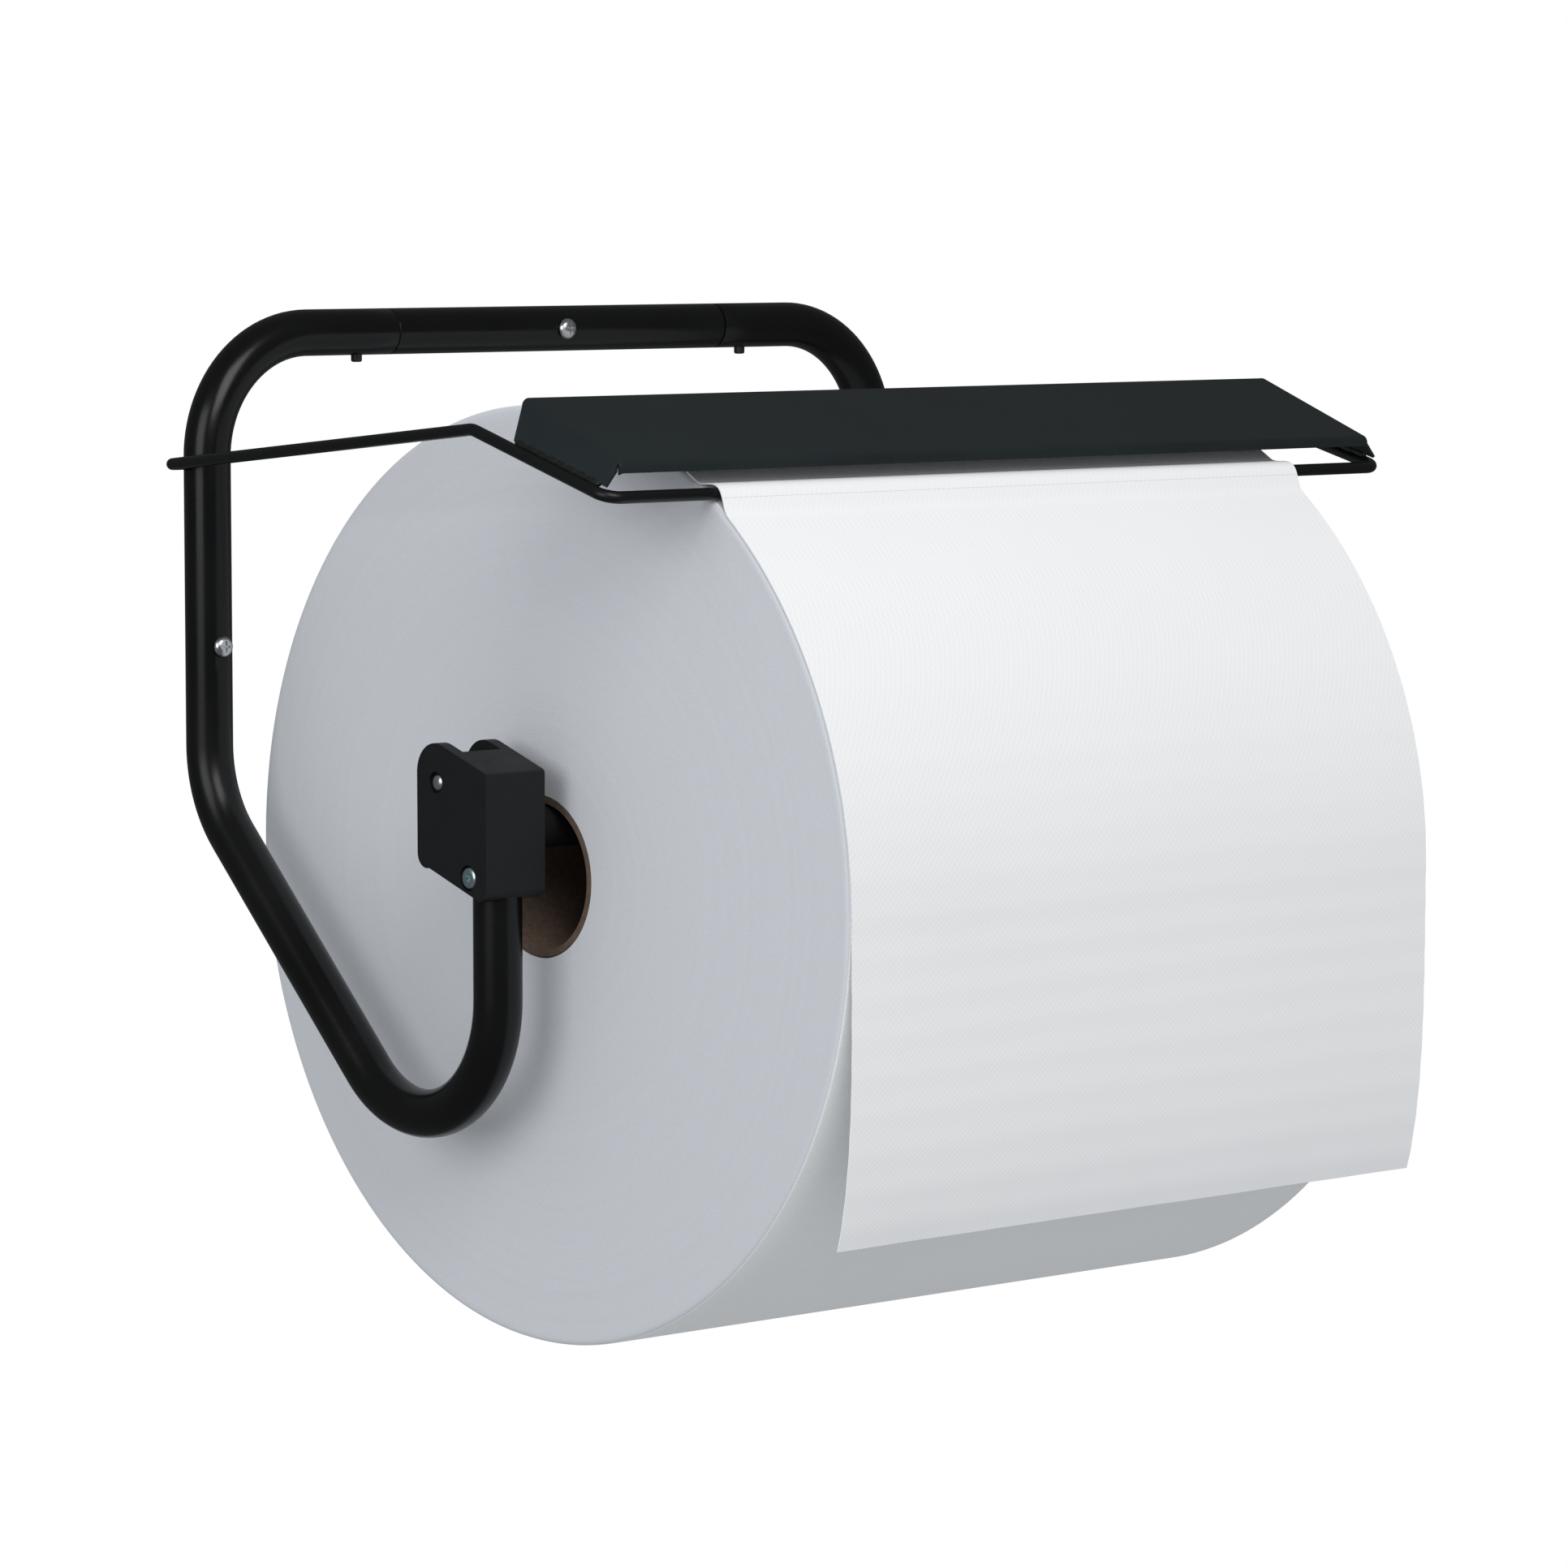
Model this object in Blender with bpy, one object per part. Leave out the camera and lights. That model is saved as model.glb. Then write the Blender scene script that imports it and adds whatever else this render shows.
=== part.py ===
"""Wall rack for a jumbo roll of wiping paper, with a lift-up tear bar.

Frame: +X to the right as seen from the room, -Y towards the room, +Z up.
The wall is the plane Y = 0 and the origin is the top wall screw's axis on it.
Everything is drawn in millimetres and scaled to metres on the way in.
"""

import math

import bmesh
import bpy
from mathutils import Matrix, Vector

MM = 0.001

# ---- frame tube -----------------------------------------------------------
TUBE_OD = 20.0
TUBE_ID = 17.0
TUBE_SIDES = 24  # a flat of the polygon faces the wall
BORE_SIDES = 12
BEND_R = 52.0  # centreline radius of every bend
X_SIDE = 187.0  # side tubes' plane
Y_TUBE = -10.0  # the tube's back lies on the wall
X_SEAM = 92.0  # where the crossbar meets the side tubes
Z_LOWER_BEND = -196.7  # corner where the upright turns forwards
Y_STUB = -209.5  # the stub that carries the cradle
Z_V = -384.7  # corner of the V bend below the stub
Z_STUB_TOP = -208.1
SPIGOT_OD = 16.3
SPIGOT_ID = 13.4
SPIGOT_END = 124.0

# ---- snap buttons in the two tube joints ----------------------------------
X_BUTTON = 108.0
BUTTON_R = 2.4
BUTTON_OUT = 3.0  # stands out below the tube
Z_FLANGE = -5.3  # underside of the flange, clear of the curved bore

# ---- wall screws ----------------------------------------------------------
Z_SIDE_SCREW = -132.0
SCREW_R = 2.4
SCREW_HOLE_R = 2.8
SCREW_HEAD_R = 4.6
SCREW_LENGTH = 19.4  # the rest is in the wall

# ---- roll -----------------------------------------------------------------
Y_ROLL = -201.0
CORE_IR = 30.0
CORE_OR = 33.0
ROLL_IR = 33.35
ROLL_R = 191.5
ROLL_W = 317.5
Z_ROLL = -217.0

# ---- telescoping spindle that the roll hangs on -----------------------------
SPINDLE_R = 9.0
SPINDLE_BORE = 7.5
TIP_R = 7.0
X_SPINDLE = 165.0  # shoulders, clear of the cradles
X_TIP = 181.6
X_SLEEVE_END = 62.0  # the sleeve covers the left part, the plunger shows beyond this
X_PLUNGER = -8.0  # inner end of the plunger
X_SPRING = -46.0  # the spring's seat inside the sleeve
ROD_GAP = 0.35
Z_ROD = Z_ROLL + CORE_IR - SPINDLE_R - ROD_GAP

# ---- cradles --------------------------------------------------------------
X_CHEEK_OUT = 202.0
X_CHEEK_IN = 172.0
CHEEK = 5.3
Y_BACK = -176.2
Y_FACE = -221.5
EAR = (-188.5, -173.4)
EAR_R = 12.4
Z_FACE_TOP = -171.3
Z_RIVET = -177.0
BOLT = (-209.5, -214.0)
BOLT_R = 2.5
HEAD_R = 4.7
HEAD_H = 3.8  # depth of the head's counterbore

# ---- tear bar -------------------------------------------------------------
WIRE_R = 2.5
PIVOT = (Y_TUBE, -54.5)
X_PIVOT = 207.3
X_LEG = 177.7  # the wire's ends, inside the tubes' inner walls
CREST = (209.8, -224.0, -33.5)
BAR_DY = 111.0  # the front bar lies this far in front of the roll's axis
BAR_GAP = 0.4
Y_BAR = Y_ROLL - BAR_DY
Z_BAR = Z_ROLL + math.sqrt((ROLL_R + BAR_GAP + WIRE_R) ** 2 - BAR_DY**2)
X_BAR = 212.2
PLATE_T = 1.2
PLATE_REAR = (205.5, -251.0, -20.5)
PLATE_FRONT = (206.5, -310.6, -43.6)
LIP_H = 4.6

# ---- paper sheet ----------------------------------------------------------
SHEET_T = 0.6
SHEET_GAP = 0.35
Z_SHEET_END = -347.0


# ===========================================================================
# helpers
# ===========================================================================
def clear_scene():
    for obj in list(bpy.data.objects):
        bpy.data.objects.remove(obj, do_unlink=True)


def material(name, rgb, roughness, metallic=0.0):
    mat = bpy.data.materials.new(name)
    mat.use_nodes = True
    bsdf = mat.node_tree.nodes["Principled BSDF"]
    bsdf.inputs["Base Color"].default_value = (*rgb, 1.0)
    bsdf.inputs["Roughness"].default_value = roughness
    bsdf.inputs["Metallic"].default_value = metallic
    mat.diffuse_color = (*rgb, 1.0)
    return mat


def add_object(name, bm, mat, origin=(0.0, 0.0, 0.0), smooth=True, helper=False):
    """Turns a bmesh in millimetres, drawn in the rack's frame, into an object whose origin is at the given point."""
    bmesh.ops.remove_doubles(bm, verts=bm.verts, dist=1e-4)
    bmesh.ops.recalc_face_normals(bm, faces=bm.faces)
    if bm.calc_volume(signed=True) < 0:
        bmesh.ops.reverse_faces(bm, faces=bm.faces)
    offset = Vector(origin)
    for v in bm.verts:
        v.co = (v.co - offset) * MM
    mesh = bpy.data.meshes.new(name)
    bm.to_mesh(mesh)
    bm.free()
    obj = bpy.data.objects.new(name, mesh)
    obj.location = offset * MM
    bpy.context.scene.collection.objects.link(obj)
    if helper:
        obj.hide_render = True
        obj.display_type = "WIRE"
    else:
        mesh.materials.append(mat)
        if smooth:
            mesh.shade_smooth()
            mesh.set_sharp_from_angle(angle=math.radians(35))
    return obj


def frame_of(direction, up):
    t = Vector(direction).normalized()
    u = Vector(up)
    u = (u - t * u.dot(t)).normalized()
    return t, u, t.cross(u)


def ring(bm, centre, u, v, radius, sides, half_step=True):
    """A polygon whose flats, not its corners, lie at the radius; a flat faces +u."""
    rv = radius / math.cos(math.pi / sides)
    shift = 0.5 if half_step else 0.0
    return [
        bm.verts.new(
            Vector(centre)
            + u * (rv * math.cos(2 * math.pi * (i + shift) / sides))
            + v * (rv * math.sin(2 * math.pi * (i + shift) / sides))
        )
        for i in range(sides)
    ]


def bridge(bm, a, b):
    n = len(a)
    for i in range(n):
        bm.faces.new((a[i], a[(i + 1) % n], b[(i + 1) % n], b[i]))


def filleted(points, radii, step_deg):
    """Points and tangents along a polyline whose corners are rounded."""
    pts = [Vector(p) for p in points]
    out = [(pts[0], (pts[1] - pts[0]).normalized())]
    for i in range(1, len(pts) - 1):
        d0 = (pts[i] - pts[i - 1]).normalized()
        d1 = (pts[i + 1] - pts[i]).normalized()
        angle = d0.angle(d1)
        r = radii[i - 1]
        start = pts[i] - d0 * (r * math.tan(angle / 2))
        axis = d0.cross(d1).normalized()
        inward = axis.cross(d0)
        centre = start + inward * r
        steps = max(2, round(math.degrees(angle) / step_deg))
        for k in range(steps + 1):
            rot = Matrix.Rotation(angle * k / steps, 3, axis)
            out.append((centre + rot @ (start - centre), rot @ d0))
    out.append((pts[-1], (pts[-1] - pts[-2]).normalized()))
    return out


def transported(path, up):
    """Gives each point of a path a cross-section frame that doesn't twist."""
    frames = []
    u = Vector(up)
    for p, t in path:
        u = (u - t * u.dot(t)).normalized()
        frames.append((p, u.copy(), t.cross(u)))
    return frames


def sweep(frames, radius, sides, bore=None, bore_sides=None):
    bm = bmesh.new()
    outer = [ring(bm, p, u, v, radius, sides) for p, u, v in frames]
    for a, b in zip(outer, outer[1:]):
        bridge(bm, a, b)
    if bore:
        inner = [ring(bm, p, u, v, bore, bore_sides) for p, u, v in frames]
        for a, b in zip(inner, inner[1:]):
            bridge(bm, a, b)
        for o, i in ((outer[0], inner[0]), (outer[-1], inner[-1])):
            annulus(bm, o, i)
    else:
        bm.faces.new(outer[0])
        bm.faces.new(outer[-1])
    return bm


def annulus(bm, outer, inner):
    """Closes a tube's end, whose outer ring has a whole multiple of the bore's corners."""
    k = len(outer) // len(inner)
    n = len(outer)
    m = len(inner)
    for j in range(m):
        fan = [outer[(j * k + s) % n] for s in range(k + 1)]
        for a, b in zip(fan, fan[1:]):
            bm.faces.new((inner[j], a, b))
        bm.faces.new((inner[j], fan[-1], inner[(j + 1) % m]))


def lathe(profile, axis_point, axis, up, sides):
    """Turns (distance along the axis, radius) pairs into a solid or, if the profile closes on itself, a ring."""
    t, u, v = frame_of(axis, up)
    base = Vector(axis_point)
    bm = bmesh.new()
    rows = []
    for a, r in profile:
        c = base + t * a
        if r <= 1e-9:
            rows.append([bm.verts.new(c)])
        else:
            rows.append(ring(bm, c, u, v, r, sides))
    for a, b in zip(rows, rows[1:]):
        if len(a) == 1 and len(b) == 1:
            continue
        if len(a) == 1:
            for i in range(sides):
                bm.faces.new((a[0], b[(i + 1) % sides], b[i]))
        elif len(b) == 1:
            for i in range(sides):
                bm.faces.new((a[i], a[(i + 1) % sides], b[0]))
        else:
            bridge(bm, a, b)
    if len(rows[0]) > 1 and len(rows[-1]) > 1:
        bridge(bm, rows[-1], rows[0])
    return bm


def cylinder(a, b, radius, sides, up=(0.0, 0.0, 1.0)):
    a, b = Vector(a), Vector(b)
    length = (b - a).length
    return lathe([(0, 0), (0, radius), (length, radius), (length, 0)], a, b - a, up, sides)


def prism(points, x0, x1):
    """A profile of (y, z) points carried along X."""
    bm = bmesh.new()
    near = [bm.verts.new((x0, y, z)) for y, z in points]
    far = [bm.verts.new((x1, y, z)) for y, z in points]
    bm.faces.new(near)
    bm.faces.new(far)
    bridge(bm, near, far)
    return bm


def box(lo, hi):
    return prism([(lo[1], lo[2]), (hi[1], lo[2]), (hi[1], hi[2]), (lo[1], hi[2])], lo[0], hi[0])


def cut(obj, *tools, operation="DIFFERENCE"):
    for tool in tools:
        mod = obj.modifiers.new("cut_" + tool.name, "BOOLEAN")
        mod.operation = operation
        mod.solver = "EXACT"
        mod.object = tool


def arc(cy, cz, r, a0, a1, steps):
    return [
        (cy + r * math.cos(math.radians(a0 + (a1 - a0) * k / steps)), cz + r * math.sin(math.radians(a0 + (a1 - a0) * k / steps)))
        for k in range(steps + 1)
    ]


def tangent_from(py, pz, cy, cz, r):
    """Touching point, on the upper side, of the line from a point in front of a circle."""
    d = math.hypot(cy - py, cz - pz)
    length = math.sqrt(d * d - r * r)
    angle = math.atan2(cz - pz, cy - py) + math.asin(r / d)
    return py + length * math.cos(angle), pz + length * math.sin(angle)


# ===========================================================================
# pieces
# ===========================================================================
def side_tube(sign, mat):
    side = "left" if sign < 0 else "right"
    corners = [
        (sign * X_SEAM, Y_TUBE, 0.0),
        (sign * X_SIDE, Y_TUBE, 0.0),
        (sign * X_SIDE, Y_TUBE, Z_LOWER_BEND),
        (sign * X_SIDE, Y_STUB, Z_V),
        (sign * X_SIDE, Y_STUB, Z_STUB_TOP),
    ]
    path = filleted(corners, [BEND_R] * 3, 11.0)
    obj = add_object(
        f"{side}_side_tube",
        sweep(transported(path, (0, 1, 0)), TUBE_OD / 2, TUBE_SIDES, TUBE_ID / 2, BORE_SIDES),
        mat,
        origin=(sign * X_SIDE, Y_TUBE, PIVOT[1]),
    )
    x = sign * X_SIDE
    screw = add_object(f"cut_screw_{side}", cylinder((x, -24, Z_SIDE_SCREW), (x, 4, Z_SIDE_SCREW), SCREW_HOLE_R, 12), None, helper=True)
    pivot = add_object(f"cut_pivot_{side}", cylinder((x - 14, *PIVOT), (x + 14, *PIVOT), WIRE_R + 0.45, 12), None, helper=True)
    button = add_object(f"cut_button_{side}", cylinder((sign * X_BUTTON, Y_TUBE, -14), (sign * X_BUTTON, Y_TUBE, -5), BUTTON_R + 0.35, 12, (0, 1, 0)), None, helper=True)
    bolt = add_object(f"cut_tube_bolt_{side}", cylinder((x - 14, *BOLT), (x + 14, *BOLT), BOLT_R + 0.3, 12), None, helper=True)
    cut(obj, screw, pivot, button, bolt)
    return obj


def crossbar(mat):
    """The straight middle piece, swaged down at both ends to slide into the side tubes."""
    r, s, e = TUBE_OD / 2, SPIGOT_OD / 2, SPIGOT_END
    x = X_SEAM - 0.3
    inner = [(e, SPIGOT_ID / 2), (x - 3, SPIGOT_ID / 2), (x - 6, TUBE_ID / 2), (-x + 6, TUBE_ID / 2), (-x + 3, SPIGOT_ID / 2), (-e, SPIGOT_ID / 2)]
    outer = [(-e, s), (-x, s), (-x, r), (x, r), (x, s), (e, s)]
    obj = add_object("crossbar_tube", lathe(outer + inner, (0, Y_TUBE, 0), (1, 0, 0), (0, 1, 0), TUBE_SIDES), mat, origin=(0, Y_TUBE, 0))
    tools = [add_object("cut_screw_top", cylinder((0, -24, 0), (0, 4, 0), SCREW_HOLE_R, 12), None, helper=True)]
    for sign in (-1, 1):
        tools.append(
            add_object(f"cut_spigot_{sign}", cylinder((sign * X_BUTTON, Y_TUBE, -12), (sign * X_BUTTON, Y_TUBE, -4), BUTTON_R + 0.35, 12, (0, 1, 0)), None, helper=True)
        )
    cut(obj, *tools)
    return obj


def snap_button(sign, mat):
    """A round pin with a flange that keeps it inside the spigot."""
    side = "left" if sign < 0 else "right"
    x = sign * X_BUTTON
    low = -TUBE_OD / 2 - BUTTON_OUT
    top = Z_FLANGE
    profile = [(0, 0), (0, BUTTON_R - 0.9), (0.9, BUTTON_R), (top - low, BUTTON_R), (top - low, BUTTON_R + 1.1), (top - low + 1.2, BUTTON_R + 1.1), (top - low + 1.2, 0)]
    return add_object(f"{side}_snap_button", lathe(profile, (x, Y_TUBE, low), (0, 0, 1), (0, 1, 0), 16), mat, origin=(x, Y_TUBE, 0))


def snap_spring(sign, mat):
    """A bent leaf: one leg on the button, the other against the top of the spigot's bore."""
    side = "left" if sign < 0 else "right"
    w = 2.6
    low = Z_FLANGE + 1.2 + 0.35
    high = SPIGOT_ID / 2 - 1.6
    t = 0.7
    x0 = X_BUTTON + 4.0
    x1 = X_BUTTON - 15.0
    mid = (low + high) / 2
    upper = [(x0, high), (x1 + 4, mid + 1.9), (x1 + 1.2, mid + 1.1), (x1, mid)]
    lower = [(x1 + 1.2, mid - 1.1), (x1 + 4, mid - 1.9), (X_BUTTON - 3.5, low), (x0, low)]
    spine = upper + lower
    outer, inner = [], []
    for i, (px, pz) in enumerate(spine):
        qx, qz = spine[max(0, i - 1)]
        rx, rz = spine[min(len(spine) - 1, i + 1)]
        d = Vector((rx - qx, 0, rz - qz)).normalized()
        n = Vector((-d.z, 0, d.x)) * t
        inner.append((px, pz))
        outer.append((px + n.x, pz + n.z))
    loop = inner + outer[::-1]
    bm = bmesh.new()
    a = [bm.verts.new((sign * px, Y_TUBE - w, pz)) for px, pz in loop]
    b = [bm.verts.new((sign * px, Y_TUBE + w, pz)) for px, pz in loop]
    bm.faces.new(a)
    bm.faces.new(b)
    bridge(bm, a, b)
    return add_object(f"{side}_snap_spring", bm, mat, origin=(sign * X_BUTTON, Y_TUBE, 0), smooth=False)


def wall_screw(name, x, z, mat):
    """Pan head screw through both walls of the tube and into the wall, with a cross recess."""
    seat = -0.3  # head stands just clear of the tube's front
    tip = SCREW_LENGTH
    profile = [(-3.1, 0), (-3.1, 2.2), (-2.7, 3.4), (-1.7, 4.3), (-0.5, SCREW_HEAD_R), (seat, SCREW_HEAD_R), (seat, SCREW_R), (tip, SCREW_R), (tip, 0)]
    obj = add_object(name, lathe(profile, (x, -TUBE_OD, z), (0, 1, 0), (0, 0, 1), 16), mat, origin=(x, -TUBE_OD, z))
    tools = []
    for k, (hx, hz) in enumerate(((2.5, 0.45), (0.45, 2.5))):
        tools.append(add_object(f"cut_{name}_{k}", box((x - hx, -TUBE_OD - 4, z - hz), (x + hx, -TUBE_OD - 1.5, z + hz)), None, helper=True))
    cut(obj, *tools)
    return obj


def cradle(sign, mat):
    """A plastic block on the stub: two cheeks with round ears, a web in front, and a blind pocket for the spindle's tip."""
    side = "left" if sign < 0 else "right"
    ty, tz = tangent_from(Y_FACE, Z_FACE_TOP, EAR[0], EAR[1], EAR_R)
    a_t = math.degrees(math.atan2(tz - EAR[1], ty - EAR[0]))
    outline = (
        [(Y_FACE, -218.6), (-220.0, -221.4), (-217.0, -223.2)]
        + arc(-182.2, -206.2, 6.0, -106, 0, 4)
        + arc(EAR[0], EAR[1], EAR_R, 0, a_t, 9)
        + [(Y_FACE + 0.9, Z_FACE_TOP + 0.4), (Y_FACE, Z_FACE_TOP - 0.7)]
    )
    x0, x1 = sorted((sign * X_CHEEK_OUT, sign * X_CHEEK_IN))
    obj = add_object(f"{side}_cradle", prism(outline, x0, x1), mat, origin=(sign * X_SIDE, Y_STUB, Z_STUB_TOP))
    # channel between the cheeks, open at the top and the back
    c0, c1 = x0 + CHEEK, x1 - CHEEK
    tools = [add_object(f"cut_channel_{side}", box((c0, -199.6, -179.0), (c1, -160, -150)), None, helper=True)]
    # socket for the stub, from below
    tools.append(add_object(f"cut_socket_{side}", cylinder((sign * X_SIDE, Y_STUB, -240), (sign * X_SIDE, Y_STUB, Z_STUB_TOP + 0.3), TUBE_OD / 2 + 0.3, 24, (0, 1, 0)), None, helper=True))
    # blind pocket in the inner face for the spindle's tip
    mouth, end = sign * (X_CHEEK_IN - 4), sign * (X_TIP + 0.4)
    tools.append(add_object(f"cut_pocket_{side}", cylinder((mouth, Y_ROLL, Z_ROD), (end, Y_ROLL, Z_ROD), TIP_R + 0.4, 24), None, helper=True))
    tools.append(add_object(f"cut_cradle_bolt_{side}", cylinder((x0 - 4, *BOLT), (x1 + 4, *BOLT), BOLT_R + 0.35, 12), None, helper=True))
    out = sign * X_CHEEK_OUT
    tools.append(add_object(f"cut_counterbore_{side}", cylinder((out + sign * 3, *BOLT), (out - sign * HEAD_H, *BOLT), HEAD_R + 0.5, 16), None, helper=True))
    tools.append(add_object(f"cut_rivet_{side}", cylinder((x0 - 4, EAR[0], Z_RIVET), (x1 + 4, EAR[0], Z_RIVET), 2.35, 12), None, helper=True))
    tools.append(add_object(f"cut_recess_{side}", cylinder((out + sign * 3, EAR[0], Z_RIVET), (out - sign * 1.8, EAR[0], Z_RIVET), 4.4, 16), None, helper=True))
    cut(obj, *tools)
    return obj


def cradle_bolt(sign, mat):
    side = "left" if sign < 0 else "right"
    face = X_CHEEK_OUT - HEAD_H + 0.3  # under the head
    tip = X_CHEEK_IN - 6.2
    length = face - tip
    profile = [(-3.6, 0), (-3.6, 3.6), (-3.0, 4.5), (0, HEAD_R), (0, BOLT_R), (length - 0.8, BOLT_R), (length, BOLT_R - 0.8), (length, 0)]
    obj = add_object(f"{side}_cradle_bolt", lathe(profile, (sign * face, *BOLT), (-sign, 0, 0), (0, 0, 1), 12), mat, origin=(sign * face, *BOLT))
    hexagon = add_object(f"cut_hex_{side}", lathe([(0, 0), (0, 1.6), (3, 1.6), (3, 0)], (sign * (face + 4.6), *BOLT), (-sign, 0, 0), (0, 0, 1), 6), None, helper=True)
    cut(obj, hexagon)
    return obj


def cradle_nut(sign, mat):
    side = "left" if sign < 0 else "right"
    start = X_CHEEK_IN - 0.3
    profile = [(0, BOLT_R + 0.35), (0, 4.0), (3.9, 4.0), (3.9, BOLT_R + 0.35)]
    t, u, v = frame_of((-sign, 0, 0), (0, 0, 1))
    bm = bmesh.new()
    rows = []
    for a, r in profile:
        c = Vector((sign * start, *BOLT)) + t * a
        rows.append(ring(bm, c, u, v, r, 12 if r < 3.5 else 6))
    bridge(bm, rows[1], rows[2])
    bridge(bm, rows[3], rows[0])
    for hexa, hole in ((rows[1], rows[0]), (rows[2], rows[3])):
        for i in range(6):
            h = [hole[(2 * i + 1) % 12], hole[(2 * i + 2) % 12], hole[(2 * i + 3) % 12]]
            # hexagon corner i sits over hole corners 2i and 2i + 1
            a, b = hexa[i], hexa[(i + 1) % 6]
            bm.faces.new((a, hole[(2 * i) % 12], hole[(2 * i + 1) % 12]))
            bm.faces.new((a, hole[(2 * i + 1) % 12], hole[(2 * i + 2) % 12], b))
    return add_object(f"{side}_cradle_nut", bm, mat, origin=(sign * start, *BOLT), smooth=False)


def cradle_rivet(sign, mat):
    side = "left" if sign < 0 else "right"
    head = X_CHEEK_OUT - 1.8 + 0.3
    end = X_CHEEK_IN - 0.3
    length = head - end
    profile = [(-1.5, 0), (-1.5, 1.6), (-0.9, 3.0), (0, 3.6), (0, 2.0), (length, 2.0), (length, 3.4), (length + 0.8, 3.0), (length + 1.2, 1.8), (length + 1.2, 0)]
    return add_object(f"{side}_cradle_rivet", lathe(profile, (sign * head, EAR[0], Z_RIVET), (-sign, 0, 0), (0, 0, 1), 12), mat, origin=(sign * head, EAR[0], Z_RIVET))


def roll_axis_ring(name, inner, outer, width, sides, mat, ease=0.0):
    w = width / 2
    if ease:
        profile = [(-w, inner), (-w, outer - ease), (-w + ease * 0.3, outer - ease * 0.3), (-w + ease, outer), (w - ease, outer), (w - ease * 0.3, outer - ease * 0.3), (w, outer - ease), (w, inner)]
    else:
        profile = [(-w, inner), (-w, outer), (w, outer), (w, inner)]
    return add_object(name, lathe(profile, (0, Y_ROLL, Z_ROLL), (1, 0, 0), (0, 0, 1), sides), mat, origin=(0, Y_ROLL, Z_ROLL))


def spindle(sleeve_mat, rod_mat, spring_mat):
    """A sleeve with a fixed tip on the left, a sprung plunger that slides in it from the right, and their coil spring."""
    here = (0, Y_ROLL, Z_ROD)
    sleeve = [(-X_TIP, 0), (-X_TIP, TIP_R - 1), (-X_TIP + 1, TIP_R), (-X_SPINDLE, TIP_R), (-X_SPINDLE, SPINDLE_R - 0.8), (-X_SPINDLE + 0.8, SPINDLE_R)]
    sleeve += [(X_SLEEVE_END - 0.8, SPINDLE_R), (X_SLEEVE_END, SPINDLE_R - 0.6), (X_SLEEVE_END, SPINDLE_BORE), (X_SPRING, SPINDLE_BORE), (X_SPRING, 0)]
    add_object("spindle_sleeve", lathe(sleeve, here, (1, 0, 0), (0, 0, 1), 24), sleeve_mat, origin=here)
    collar = X_SPINDLE - 12.0
    plunger = [(X_PLUNGER, 0), (X_PLUNGER, TIP_R - 1), (X_PLUNGER + 1, TIP_R), (collar, TIP_R), (collar, SPINDLE_R - 0.8), (collar + 0.8, SPINDLE_R), (X_SPINDLE - 0.8, SPINDLE_R), (X_SPINDLE, SPINDLE_R - 0.8)]
    plunger += [(X_SPINDLE, TIP_R), (X_TIP - 1, TIP_R), (X_TIP, TIP_R - 1), (X_TIP, 0)]
    add_object("spindle_plunger", lathe(plunger, here, (1, 0, 0), (0, 0, 1), 24), rod_mat, origin=here)
    turns, per_turn, wire, coil = 5, 12, 0.8, 5.6
    x0, x1 = X_SPRING + wire + 0.3, X_PLUNGER - wire - 0.3
    path = []
    for k in range(turns * per_turn + 1):
        a = 2 * math.pi * k / per_turn
        pitch = (x1 - x0) / (turns * per_turn)
        p = Vector((x0 + pitch * k, Y_ROLL + coil * math.cos(a), Z_ROD + coil * math.sin(a)))
        t = Vector((pitch * per_turn / (2 * math.pi), -coil * math.sin(a), coil * math.cos(a))).normalized()
        path.append((p, t))
    add_object("spindle_spring", sweep(transported(path, (1, 0, 0)), wire, 6), spring_mat, origin=here)


def tear_wire(mat):
    leg = X_LEG
    half = [
        (-leg, *PIVOT),
        (-X_PIVOT, *PIVOT),
        (-CREST[0], CREST[1], CREST[2]),
        (-X_BAR, Y_BAR, Z_BAR),
    ]
    points = half + [(-x, y, z) for x, y, z in reversed(half)]
    path = filleted(points, [5.0, 12.0, 7.0, 7.0, 12.0, 5.0], 22.0)
    return add_object("tear_bar_wire", sweep(transported(path, (0, 0, 1)), WIRE_R, 10), mat, origin=(0, *PIVOT))


def wire_height(y):
    k = (y - CREST[1]) / (Y_BAR - CREST[1])
    return CREST[2] + k * (Z_BAR - CREST[2])


def wire_x(y):
    k = (y - CREST[1]) / (Y_BAR - CREST[1])
    return CREST[0] + k * (X_BAR - CREST[0])


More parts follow.
